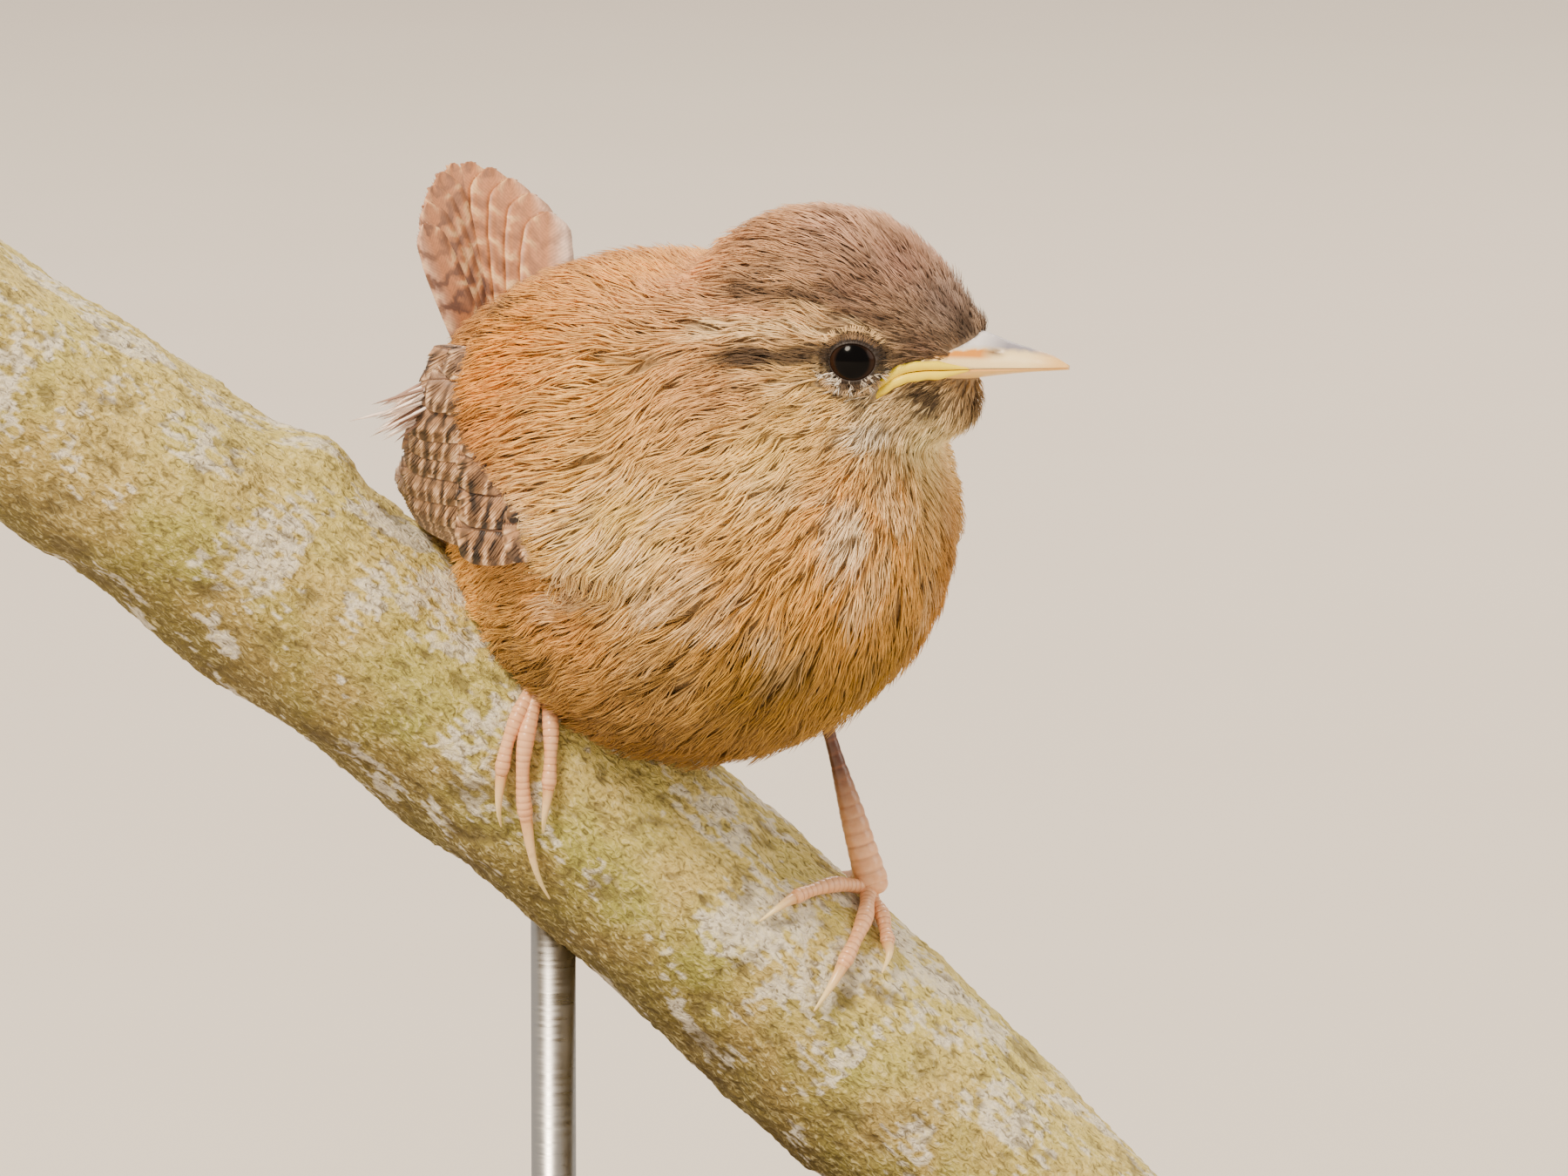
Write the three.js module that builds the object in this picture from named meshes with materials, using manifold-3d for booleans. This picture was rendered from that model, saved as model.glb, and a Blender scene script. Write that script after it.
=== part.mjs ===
// A young wren, life size, perched on a sloping cut branch that one rod holds over a flat base.
// Sizes are millimetres and +Z is up. The origin is the middle of the base's underside.
// +X runs along the branch towards its low end, and -Y is the side that the bird's breast faces.
import * as THREE from "three";
import { mergeVertices } from "three/addons/utils/BufferGeometryUtils.js";
import Module from "manifold-3d";

const wasm = await Module();
wasm.setup();

const rad = THREE.MathUtils.degToRad;
const deg = THREE.MathUtils.radToDeg;
const mix = THREE.MathUtils.lerp;
const V = (x, y, z) => new THREE.Vector3(x, y, z);

// Driving dimensions
const GAP = 0.3; // left between two pieces that touch

const BASE = { length: 102, width: 62, height: 6, corner: 9, bevel: 0.8 };
const ROD = { radius: 1.8, x: 1.5, collarRadius: 4.5, collarHeight: 2, top: 66 };

const BRANCH = {
  length: 121,
  startX: -49, // the middle of the high end
  startZ: 93.25,
  slopeHigh: 32.5, // degrees below level, at the high end
  slopeLow: 46.2,
  radiusHigh: 9.5,
  radiusLow: 9.7,
  rings: 27,
  sides: 20,
};
const KNOB = { along: 32.2, angle: 84, size: 3.4, height: 1.9 }; // a healed bud on the upper side

// The middle of the trunk, and the head's middle from there. Yaw and pitch are in degrees.
const BODY = { x: 12, y: -6, z: 79, yaw: -50, pitch: -2 };
const HEAD = { ahead: 16, aside: 4, above: 14.6, yaw: 30, pitch: 3 };

// The outer form of the plumage: ellipsoids [x, y, z, rx, ry, rz] that run smoothly together.
// In the body's frame and in the head's, x is forward, y is to the bird's left and z is up.
const TRUNK_FORMS = [
  [-0.3, 0, -1, 20.3, 16.9, 18.8], // belly
  [6.6, 1, -1.6, 15.4, 17, 15.2], // breast
  [-3, 0, 6, 15.5, 14.8, 14.8], // mantle
  [-13, -0.4, 6.2, 10.6, 13, 11.7], // rump
  [11, 1, 8.8, 10.6, 12, 10.8], // neck
];
const HEAD_FORMS = [
  [-2.2, 0, 1.6, 11, 8.5, 8.9], // crown and nape
  [3.5, 0, 0.9, 6, 4.8, 4.8], // forehead
  [5.4, 0, -1.2, 5.6, 3.9, 4.4], // lores
  [-1.6, 3.4, -3.4, 6.4, 4.7, 5.3], // left cheek
  [-1.6, -3.4, -3.4, 6.4, 4.7, 5.3], // right cheek
  [4.8, 0, -4.6, 6.1, 4, 3.3], // chin
  [7.2, 0, 1.1, 3.9, 2.8, 1.8], // bristles over the bill's root
];
const BLEND = { trunk: 1.5, head: 0.8, throat: 1 }; // how softly the forms run together
// A middle that sees the whole skin, and how its facets crowd towards the head.
const SKIN = { middle: V(8.5, 2, 6.5), most: 42, detail: 10, crowd: 0.45, crowdTo: V(0.64, 0.14, 0.75) };
// The cuts on both sides of the neck: a normal, and distances from the body's middle.
const NECK = { normal: V(0.6, 0.15, 0.786), low: 15.2, high: 18.6 };

const EYE = { x: 0.9, z: -0.8, radius: 2.3, sunk: 1.25, toe: 16, lid: 0.42, lidRadius: 2.05 };

// Bill stations from the gape to the tip: x, half width, ridge height, mouth height, keel height.
const BILL = [
  [5.4, 4.9, 0.3, -2.6, -3.5],
  [7.2, 4.5, 1.05, -1.7, -2.85],
  [9.5, 3.45, 1.25, -1.54, -2.6],
  [11.4, 2.4, 1.05, -1.46, -2.26],
  [13.3, 1.75, 0.5, -1.38, -1.93],
  [15.4, 1.18, 0.04, -1.28, -1.62],
  [17.1, 0.7, -0.38, -1.2, -1.42],
  [18.3, 0.16, -0.95, -1.15, -1.28],
];
const MOUTH_GAP = 0.15; // half the space between the closed halves
const NOSTRIL = { x: 12.6, y: 1.5, z: -0.15, size: [0.75, 0.3, 0.22] };
// The soft edge of a fledgling's gape, along the line of the mouth: x, y, z, radius.
const FLANGE = [
  [4.1, 5.3, -3.7, 0.24],
  [4.9, 5.35, -2.85, 0.3],
  [6.2, 5.05, -1.95, 0.33],
  [7.7, 4.4, -1.62, 0.33],
  [9.4, 3.65, -1.54, 0.31],
  [11, 2.7, -1.48, 0.25],
];
const FLANGE_RISE = 0.46; // from the line of the mouth to the middle of the edge

const VANE = 0.55; // thickness of a flight or tail feather
// Half width of a feather along its length, as a share of its widest.
const VANE_OUTLINE = new THREE.SplineCurve([
  new THREE.Vector2(0, 0.45),
  new THREE.Vector2(0.3, 0.85),
  new THREE.Vector2(0.62, 1),
  new THREE.Vector2(0.88, 0.84),
  new THREE.Vector2(1, 0.22),
]);

// The folded wing lies on a bed, the trunk drawn out towards the tail. A place on it is x forward and an
// angle from the top down the side, about a line along the body.
const WING_BED = [...TRUNK_FORMS, [-13, 0, 3, 17, 11.5, 11.5]];
const BED = { axisZ: 1, radius: 18, most: 30 };
// Each tier of feathers: its first and last root and tip, and its first and last height off the bed.
const WING_TIERS = [
  // primaries
  {
    count: 4,
    roots: [[3, 94], [2, 86]],
    tips: [[-17.6, 90], [-20.2, 79]],
    width: 4,
    heights: [0.65, 0.85],
    rows: 6,
  },
  // secondaries
  {
    count: 6,
    roots: [[2, 86], [0, 54]],
    tips: [[-17, 83], [-14, 46]],
    width: 5,
    heights: [1.05, 1.5],
    rows: 5,
  },
  // tertials
  {
    count: 3,
    roots: [[0, 56], [-1, 44]],
    tips: [[-12.5, 56], [-9.5, 36]],
    width: 5.4,
    heights: [1.75, 2],
    rows: 5,
  },
  // greater coverts
  {
    count: 6,
    roots: [[6, 92], [3, 46]],
    tips: [[-5, 91], [-5, 42]],
    width: 5.2,
    heights: [1.7, 2.2],
    rows: 4,
  },
  // median coverts
  {
    count: 5,
    roots: [[8, 90], [6, 50]],
    tips: [[1.5, 90], [1.5, 48]],
    width: 5.2,
    heights: [2.2, 2.4],
    rows: 3,
  },
];
const WING_LIFT = 0.3; // how much higher a tip lies than its root
const WING_TILT = 0.3; // how much higher one edge lies than the middle
// The pad of the shoulder's small coverts.
const SHOULDER = {
  front: 12.5,
  back: -1.5,
  high: 38,
  low: 94,
  lift: 0.45,
  edge: 0.5,
  thickness: 2,
  rows: 7,
  columns: 6,
};

const TAIL = {
  x: -20.2,
  y: -0.9,
  z: 8,
  lean: 15, // degrees back from upright
  length: 20,
  feathers: 10,
  spread: 15, // degrees from the middle to the outer feather
  width: 4.6,
  rootSpacing: 2.4,
  graded: 0.2, // how much shorter the outer feathers are
  crown: 1, // how far the middle feathers lie in front of the roots
  fall: 1.7,
  cup: 0.0105,
  tilt: 0.3,
  rows: 7,
  coverts: [9.5, 5.4, 1.5],
};

// A place on the branch is [mm along it, degrees round it], where 0 faces -Y and 90 is the top.
// Each toe has its claw's tip, how far it bows along the branch, and its radius.
// A heel lies in the belly's plumage, and shown is the share of the tarsus below that is modelled.
const LEGS = {
  right: {
    pad: [55.6, 44],
    heel: V(-3.2, -2.8, 81),
    shown: 0.42,
    toes: [
      { tip: [60.8, -26], bow: -1.4, radius: 0.62 }, // outer
      { tip: [67.6, -40], bow: -2.3, radius: 0.66 }, // middle
      { tip: [63.6, -14], bow: 0.6, radius: 0.62 }, // inner
      { tip: [54, 122], bow: 0, radius: 0.72 }, // hind
    ],
  },
  left: {
    pad: [86.6, 82],
    heel: V(22, -2, 66.3),
    shown: 1,
    toes: [
      { tip: [81.2, 20], bow: -0.9, radius: 0.62 }, // inner
      { tip: [89.2, 6], bow: 0.1, radius: 0.66 }, // middle
      { tip: [91.3, 42], bow: 0.5, radius: 0.62 }, // outer
      { tip: [85, 158], bow: 0, radius: 0.72 }, // hind
    ],
  },
};
const TOE = { rows: 8, sides: 7, clawFrom: 0.68, clawRoot: 0.8, clawTip: 0.2, arch: 0.6, knuckle: 0.09 };
const PAD_RADIUS = 1.15;
const TARSUS_SIDES = 10;
// The share of the way from the pad to the heel, and the radius there.
const TARSUS = [
  [0, 0.95],
  [0.14, 0.9],
  [0.32, 0.72],
  [0.7, 0.74],
  [0.88, 0.98],
  [1, 1.15],
];

// Frames
function frameAt(x, y, z, yaw, pitch) {
  const turn = new THREE.Matrix4().makeRotationZ(rad(yaw));
  turn.multiply(new THREE.Matrix4().makeRotationY(rad(pitch)));
  return turn.setPosition(x, y, z);
}

const bodyFrame = frameAt(BODY.x, BODY.y, BODY.z, BODY.yaw, BODY.pitch);
const headInBody = frameAt(HEAD.ahead, HEAD.aside, HEAD.above, HEAD.yaw, HEAD.pitch);
const headFrame = bodyFrame.clone().multiply(headInBody);
const bodyInHead = headInBody.clone().invert();
// In the tail's own frame x runs out along it and z faces the head.
const tailFrame = bodyFrame.clone().multiply(frameAt(TAIL.x, TAIL.y, TAIL.z, 0, -90 - TAIL.lean));

// Solids
function solidOf(geometry) {
  const bare = new THREE.BufferGeometry();
  bare.setAttribute("position", geometry.getAttribute("position"));
  bare.setIndex(geometry.getIndex());
  const merged = mergeVertices(bare, 1e-4);
  return new wasm.Manifold(
    new wasm.Mesh({
      numProp: 3,
      vertProperties: new Float32Array(merged.getAttribute("position").array),
      triVerts: new Uint32Array(merged.getIndex().array),
    }),
  );
}

function geometryOf(solid) {
  const mesh = solid.getMesh();
  const geometry = new THREE.BufferGeometry();
  geometry.setAttribute("position", new THREE.BufferAttribute(mesh.vertProperties, 3));
  geometry.setIndex(new THREE.BufferAttribute(mesh.triVerts, 1));
  geometry.computeVertexNormals();
  return geometry;
}

// A solid from points and triangles, turned right side out where they run the other way round.
function solidFrom(points, triangles) {
  const geometry = new THREE.BufferGeometry().setFromPoints(points);
  geometry.setIndex(triangles.flat());
  const solid = solidOf(geometry);
  if (solid.volume() > 0) return solid;
  geometry.setIndex(triangles.flatMap(([a, b, c]) => [b, a, c]));
  return solidOf(geometry);
}

function join(solids) {
  return solids.reduce((whole, piece) => whole.add(piece));
}

function largest(solid) {
  return solid.decompose().reduce((best, part) => (part.volume() > best.volume() ? part : best));
}

function solidIn(frame, geometry) {
  return solidOf(geometry.clone().applyMatrix4(frame));
}

function placed(frame, solid) {
  return solidIn(frame, geometryOf(solid));
}

// A closed tube through rings of points, with a fan over each end.
function ringSolid(rings) {
  const points = rings.flat();
  const sides = rings[0].length;
  const triangles = [];
  for (let i = 0; i + 1 < rings.length; i++)
    for (let j = 0; j < sides; j++) {
      const a = i * sides + j;
      const b = i * sides + ((j + 1) % sides);
      triangles.push([a, b, a + sides], [b, b + sides, a + sides]);
    }
  for (const [ring, first, turn] of [[rings[0], 0, -1], [rings.at(-1), (rings.length - 1) * sides, 1]]) {
    const middle = ring.reduce((sum, p) => sum.add(p), V(0, 0, 0)).divideScalar(sides);
    points.push(middle);
    for (let j = 0; j < sides; j++) {
      const a = first + j;
      const b = first + ((j + 1) % sides);
      triangles.push(turn > 0 ? [a, b, points.length - 1] : [b, a, points.length - 1]);
    }
  }
  return solidFrom(points, triangles);
}

// A limb through points, round in section, with its radius at each point.
function limb(points, radii, sides) {
  const rings = points.map((p, i) => {
    const before = points[Math.max(i - 1, 0)];
    const after = points[Math.min(i + 1, points.length - 1)];
    const along = after.clone().sub(before).normalize();
    const side = V(0, 1, 0.01).cross(along).normalize();
    const rise = along.clone().cross(side);
    return Array.from({ length: sides }, (_, j) => {
      const turn = (2 * Math.PI * j) / sides;
      const out = side.clone().multiplyScalar(Math.cos(turn)).addScaledVector(rise, Math.sin(turn));
      return p.clone().addScaledVector(out, radii[i]);
    });
  });
  return ringSolid(rings);
}

// A plate over a grid, split into the same triangles on both faces. The function at gives the plate's
// middle, normal and thickness for a share of the rows and a share of the columns.
function plate(rows, columns, at) {
  const points = [];
  for (const face of [0.5, -0.5])
    for (let i = 0; i < rows; i++)
      for (let j = 0; j < columns; j++) {
        const { middle, normal, thickness } = at(i / (rows - 1), j / (columns - 1));
        points.push(middle.clone().addScaledVector(normal, face * thickness));
      }
  const under = rows * columns;
  const id = (i, j) => i * columns + j;
  const triangles = [];
  for (let i = 0; i + 1 < rows; i++)
    for (let j = 0; j + 1 < columns; j++) {
      const [a, b, c, d] = [id(i, j), id(i, j + 1), id(i + 1, j + 1), id(i + 1, j)];
      triangles.push([a, b, c], [a, c, d]);
      triangles.push([a + under, c + under, b + under], [a + under, d + under, c + under]);
    }
  const rim = [];
  for (let j = 0; j + 1 < columns; j++) rim.push(id(0, j));
  for (let i = 0; i + 1 < rows; i++) rim.push(id(i, columns - 1));
  for (let j = columns - 1; j > 0; j--) rim.push(id(rows - 1, j));
  for (let i = rows - 1; i > 0; i--) rim.push(id(i, 0));
  rim.forEach((a, k) => {
    const b = rim[(k + 1) % rim.length];
    triangles.push([b, a, a + under], [b, a + under, b + under]);
  });
  return solidFrom(points, triangles);
}

// The plumage
function ellipsoidDistance([x, y, z, rx, ry, rz], p) {
  const a = Math.hypot((p.x - x) / rx, (p.y - y) / ry, (p.z - z) / rz);
  const b = Math.hypot((p.x - x) / rx ** 2, (p.y - y) / ry ** 2, (p.z - z) / rz ** 2);
  return b < 1e-9 ? -Math.min(rx, ry, rz) : (a * (a - 1)) / b;
}

function softLeast(distances, blend) {
  const least = Math.min(...distances);
  return least - blend * Math.log(distances.reduce((sum, d) => sum + Math.exp((least - d) / blend), 0));
}

function formDistance(forms, p, blend) {
  return softLeast(forms.map((form) => ellipsoidDistance(form, p)), blend);
}

// Signed distance, roughly, from the bird's outer form to a point of the body's frame.
function plumage(p) {
  const trunk = formDistance(TRUNK_FORMS, p, BLEND.trunk);
  const head = formDistance(HEAD_FORMS, p.clone().applyMatrix4(bodyInHead), BLEND.head);
  return softLeast([trunk, head], BLEND.throat);
}

function wingBed(p) {
  return formDistance(WING_BED, p, BLEND.trunk);
}

// How far from a start, along a direction, a field last rises through a level.
function reachOf(field, start, direction, level, most) {
  const step = 0.6;
  const at = (reach) => field(start.clone().addScaledVector(direction, reach));
  let near = most;
  while (near > step && at(near) > level) near -= step;
  let far = near + step;
  for (let i = 0; i < 16; i++) {
    const middle = (near + far) / 2;
    if (at(middle) < level) near = middle;
    else far = middle;
  }
  return (near + far) / 2;
}

function skinSolid(level) {
  const geometry = new THREE.IcosahedronGeometry(1, SKIN.detail);
  const position = geometry.getAttribute("position");
  const direction = V(0, 0, 0);
  for (let i = 0; i < position.count; i++) {
    direction.fromBufferAttribute(position, i).addScaledVector(SKIN.crowdTo, SKIN.crowd).normalize();
    const reach = reachOf(plumage, SKIN.middle, direction, level, SKIN.most);
    const p = SKIN.middle.clone().addScaledVector(direction, reach);
    position.setXYZ(i, p.x, p.y, p.z);
  }
  return solidIn(bodyFrame, geometry);
}

// The space between two planes that lie across the neck.
function neckSlab(from, to) {
  const size = 90;
  const box = new THREE.BoxGeometry(size, size, to - from);
  box.translate(0, 0, (from + to) / 2);
  const turn = new THREE.Quaternion().setFromUnitVectors(V(0, 0, 1), NECK.normal.clone().normalize());
  box.applyQuaternion(turn);
  return solidIn(bodyFrame, box);
}

// The branch
function branchAt(along) {
  const first = rad(BRANCH.slopeHigh);
  const bend = rad(BRANCH.slopeLow - BRANCH.slopeHigh) / BRANCH.length;
  const slope = first + bend * along;
  const x = BRANCH.startX + (Math.sin(slope) - Math.sin(first)) / bend;
  const z = BRANCH.startZ + (Math.cos(slope) - Math.cos(first)) / bend;
  return { middle: V(x, 0, z), up: V(Math.sin(slope), 0, Math.cos(slope)) };
}

function branchRadius(along, angle) {
  const taper = mix(BRANCH.radiusHigh, BRANCH.radiusLow, along / BRANCH.length);
  const a = rad(angle);
  const swell =
    0.22 * Math.sin(2 * a + along * 0.11) +
    0.16 * Math.sin(3 * a - along * 0.23 + 1) +
    0.12 * Math.sin(5 * a + along * 0.37 + 2);
  const offKnob = THREE.MathUtils.euclideanModulo(angle - KNOB.angle + 180, 360) - 180;
  const off = Math.hypot(along - KNOB.along, rad(offKnob) * taper) / KNOB.size;
  return taper + swell + KNOB.height * Math.exp(-off * off);
}

function onBranch(along, angle, height) {
  const { middle, up } = branchAt(along);
  const r = branchRadius(along, angle) + height;
  const out = up.clone().multiplyScalar(Math.sin(rad(angle)));
  out.y -= Math.cos(rad(angle));
  return middle.clone().addScaledVector(out, r);
}

function branchSolid(grow) {
  const rings = [];
  for (let i = 0; i <= BRANCH.rings; i++) {
    const along = mix(-grow, BRANCH.length + grow, i / BRANCH.rings);
    const ring = Array.from({ length: BRANCH.sides }, (_, j) => {
      return onBranch(along, (360 * j) / BRANCH.sides, grow);
    });
    rings.push(ring);
  }
  return ringSolid(rings);
}

// Wings
// A point over the wing bed, and the bed's normal there.
function overBed(x, angle, height, side) {
  const a = rad(angle);
  const direction = V(0, side * Math.sin(a), Math.cos(a));
  const start = V(x, 0, BED.axisZ);
  const foot = start.clone().addScaledVector(direction, reachOf(wingBed, start, direction, 0, BED.most));
  const e = 0.05;
  const level = wingBed(foot);
  const slope = (dx, dy, dz) => wingBed(foot.clone().add(V(dx, dy, dz))) - level;
  const normal = V(slope(e, 0, 0), slope(0, e, 0), slope(0, 0, e)).normalize();
  return { middle: foot.addScaledVector(normal, height), normal };
}

// One feather on the bed, from its root to its tip.
function bedVane(root, tip, width, height, rows, side) {
  const ahead = tip[0] - root[0];
  const down = rad(tip[1] - root[1]) * BED.radius;
  const length = Math.hypot(ahead, down);
  return plate(rows, 2, (t, u) => {
    const shape = VANE_OUTLINE.getPoint(t);
    const edge = 2 * u - 1;
    const across = (edge * shape.y * width) / 2;
    const x = mix(root[0], tip[0], shape.x) - (down / length) * across;
    const angle = mix(root[1], tip[1], shape.x) + deg(((ahead / length) * across) / BED.radius);
    const lift = height + WING_LIFT * shape.x - WING_TILT * edge;
    return { ...overBed(x, angle, lift, side), thickness: VANE };
  });
}

function wingSolid(side) {
  const pieces = [];
  for (const tier of WING_TIERS)
    for (let i = 0; i < tier.count; i++) {
      const share = i / (tier.count - 1);
      const between = ([from, to]) => [mix(from[0], to[0], share), mix(from[1], to[1], share)];
      const height = mix(tier.heights[0], tier.heights[1], share);
      pieces.push(bedVane(between(tier.roots), between(tier.tips), tier.width, height, tier.rows, side));
    }
  const round = (v) => Math.sqrt(Math.max(0, 1 - Math.abs(2 * v - 1) ** 3));
  const pad = plate(SHOULDER.rows, SHOULDER.columns, (t, u) => {
    const spread = (u - 0.5) * (0.35 + 0.65 * round(t));
    const angle = mix(SHOULDER.high, SHOULDER.low, 0.5 + spread);
    const thickness = SHOULDER.edge + SHOULDER.thickness * round(u) * round(t);
    const x = mix(SHOULDER.front, SHOULDER.back, t);
    return { ...overBed(x, angle, SHOULDER.lift + thickness / 2, side), thickness };
  });
  return join([...pieces, pad]);
}

// Tail: a graded, rounded fan, cocked over the rump
function tailSolid() {
  const pieces = [];
  for (let i = 0; i < TAIL.feathers; i++) {
    const place = (2 * i) / (TAIL.feathers - 1) - 1;
    const turn = rad(place * TAIL.spread);
    const length = TAIL.length * (1 - TAIL.graded * Math.abs(place) ** 1.6);
    const layer = TAIL.crown - TAIL.fall * Math.abs(place);
    const vane = plate(TAIL.rows, 2, (t, u) => {
      const shape = VANE_OUTLINE.getPoint(t);
      const along = length * shape.x;
      const edge = 2 * u - 1;
      const across = (edge * shape.y * TAIL.width) / 2 + place * TAIL.rootSpacing;
      const x = along * Math.cos(turn) - across * Math.sin(turn);
      const y = along * Math.sin(turn) + across * Math.cos(turn);
      const z = layer - TAIL.cup * y * y - TAIL.tilt * edge * Math.sign(place);
      return { middle: V(x, y, z), normal: V(0, 0, 1), thickness: VANE };
    });
    pieces.push(vane);
  }
  // The tail coverts are a flat pad that holds every root.
  const coverts = new THREE.SphereGeometry(1, 12, 8);
  coverts.scale(...TAIL.coverts);
  return join([...pieces, solidOf(coverts)]);
}

// Bill
function billHalf(upper, grow) {
  const sides = 6;
  const way = upper ? 1 : -1;
  const rings = BILL.map(([x, halfWidth, ridge, mouth, keel], i) => {
    const edge = mouth + way * MOUTH_GAP;
    const depth = Math.max(0.12, way * ((upper ? ridge : keel) - edge)) + grow;
    const end = i === 0 ? -grow : i === BILL.length - 1 ? grow : 0;
    return Array.from({ length: sides }, (_, j) => {
      const a = (Math.PI * j) / (sides - 1);
      const flat = j % (sides - 1) === 0 ? grow : 0;
      const z = edge + way * (depth * Math.sin(a) ** 1.15 - flat);
      return V(x + end, (halfWidth + grow) * Math.cos(a), z);
    });
  });
  return ringSolid(rings);
}

function flange(side, upper, grow) {
  const rise = upper ? FLANGE_RISE : -FLANGE_RISE;
  const route = FLANGE.map(([x, y, z]) => V(x, y * side, z + rise));
  return limb(route, FLANGE.map(([, , , radius]) => radius + grow), 6);
}

function billSolid(upper, grow) {
  return join([billHalf(upper, grow), flange(1, upper, grow), flange(-1, upper, grow)]);
}

function nostril(side) {
  const slot = new THREE.SphereGeometry(1, 6, 5);
  slot.scale(...NOSTRIL.size);
  slot.translate(NOSTRIL.x, NOSTRIL.y * side, NOSTRIL.z);
  return solidOf(slot);
}

// Eyes
// Each eye sits where its own line of sight leaves the plumage, sunk by the part that the lids hide.
function eyeFrame(side) {
  const yaw = side * (90 - EYE.toe);
  const outward = V(Math.cos(rad(yaw)), Math.sin(rad(yaw)), 0);
  const start = V(EYE.x, 0, EYE.z).addScaledVector(outward, 2);
  const direction = outward.clone().transformDirection(headInBody);
  const reach = reachOf(plumage, start.clone().applyMatrix4(headInBody), direction, 0, 10);
  const middle = start.addScaledVector(outward, reach - EYE.sunk);
  return headFrame.clone().multiply(frameAt(middle.x, middle.y, middle.z, yaw, 0));
}

function eyeBall(side, grow) {
  return solidIn(eyeFrame(side), new THREE.SphereGeometry(EYE.radius + grow, 14, 9));
}

function eyeLid(side) {
  const lid = new THREE.TorusGeometry(EYE.lidRadius, EYE.lid, 5, 16);
  lid.rotateY(Math.PI / 2);
  lid.translate(EYE.sunk, 0, 0);
  return solidIn(eyeFrame(side), lid);
}

// Legs
// One toe with its claw, laid round the branch.
function toeSolid(pad, toe, grow) {
  const points = [];
  const radii = [];
  for (let i = 0; i <= TOE.rows; i++) {
    const t = i / TOE.rows;
    const along = mix(pad[0], toe.tip[0], t) + toe.bow * Math.sin(Math.PI * t);
    const angle = mix(pad[1], toe.tip[1], t);
    const inClaw = Math.max(0, (t - TOE.clawFrom) / (1 - TOE.clawFrom));
    const flesh = 1 - t / 4 + TOE.knuckle * Math.cos(6 * Math.PI * t);
    const radius = toe.radius * (inClaw ? mix(TOE.clawRoot, TOE.clawTip, inClaw) : flesh);
    points.push(onBranch(along, angle, GAP + radius + TOE.arch * Math.sin(Math.PI * inClaw)));
    radii.push(radius + grow);
  }
  return limb(points, radii, TOE.sides);
}

function legSolid(leg, grow) {
  const pad = onBranch(leg.pad[0], leg.pad[1], GAP + PAD_RADIUS);
  const ball = new THREE.SphereGeometry(PAD_RADIUS + grow, 10, 8);
  ball.translate(pad.x, pad.y, pad.z);
  const shown = TARSUS.filter(([t]) => t < leg.shown);
  shown.push([leg.shown, mix(shown.at(-1)[1], TARSUS.at(-1)[1], leg.shown)]);
  const points = shown.map(([t]) => pad.clone().lerp(leg.heel, t));
  points.at(-1).addScaledVector(leg.heel.clone().sub(pad).normalize(), grow);
  const tarsus = limb(points, shown.map(([, radius]) => radius + grow), TARSUS_SIDES);
  return join([solidOf(ball), tarsus, ...leg.toes.map((toe) => toeSolid(leg.pad, toe, grow))]);
}

// Stand
function baseSolid() {
  const x = BASE.length / 2 - BASE.bevel;
  const y = BASE.width / 2 - BASE.bevel;
  const c = BASE.corner;
  const outline = new THREE.Shape();
  outline.moveTo(c - x, -y);
  outline.lineTo(x - c, -y);
  outline.absarc(x - c, c - y, c, -Math.PI / 2, 0);
  outline.lineTo(x, y - c);
  outline.absarc(x - c, y - c, c, 0, Math.PI / 2);
  outline.lineTo(c - x, y);
  outline.absarc(c - x, y - c, c, Math.PI / 2, Math.PI);
  outline.lineTo(-x, c - y);
  outline.absarc(c - x, c - y, c, Math.PI, 1.5 * Math.PI);
  const geometry = new THREE.ExtrudeGeometry(outline, {
    depth: BASE.height - 2 * BASE.bevel,
    bevelThickness: BASE.bevel,
    bevelSize: BASE.bevel,
    bevelSegments: 1,
    curveSegments: 4,
  });
  geometry.translate(0, 0, BASE.bevel);
  return solidOf(geometry);
}

// The rod runs up from its collar into the branch's room, and what stands above the branch goes.
function rodSolid(branchRoom) {
  const foot = BASE.height + GAP;
  const collarTop = foot + ROD.collarHeight;
  const profile = [
    [0, foot],
    [ROD.collarRadius, foot],
    [ROD.collarRadius, foot + ROD.collarHeight * 0.6],
    [ROD.radius + 0.6, collarTop],
    [ROD.radius, collarTop + 0.5],
    [ROD.radius, ROD.top],
    [0, ROD.top],
  ].map(([r, z]) => new THREE.Vector2(r, z));
  const rod = new THREE.LatheGeometry(profile, 20);
  rod.rotateX(Math.PI / 2);
  rod.translate(ROD.x, 0, 0);
  const low = (part) => part.boundingBox().min[2];
  const parts = solidOf(rod).subtract(branchRoom).decompose();
  return parts.reduce((lowest, part) => (low(part) < low(lowest) ? part : lowest));
}

// The model
const COLOURS = {
  plumage: [0xb08a5c, 0.85, 0],
  flight: [0x7a5a42, 0.75, 0],
  bill: [0xd9b27a, 0.45, 0],
  eye: [0x0c0908, 0.1, 0],
  leg: [0xb98a72, 0.6, 0],
  bark: [0x9a9a66, 0.9, 0],
  wood: [0x4a3325, 0.45, 0],
  steel: [0x8c8c90, 0.35, 1],
};
const model = new THREE.Group();
function add(name, solid, finish) {
  const [color, roughness, metalness] = COLOURS[finish];
  const material = new THREE.MeshStandardMaterial({ color, roughness, metalness });
  const mesh = new THREE.Mesh(geometryOf(largest(solid)), material);
  mesh.name = name;
  model.add(mesh);
}

const SIDES = { left: 1, right: -1 };
const branch = branchSolid(0);
const branchRoom = branchSolid(GAP);

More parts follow.
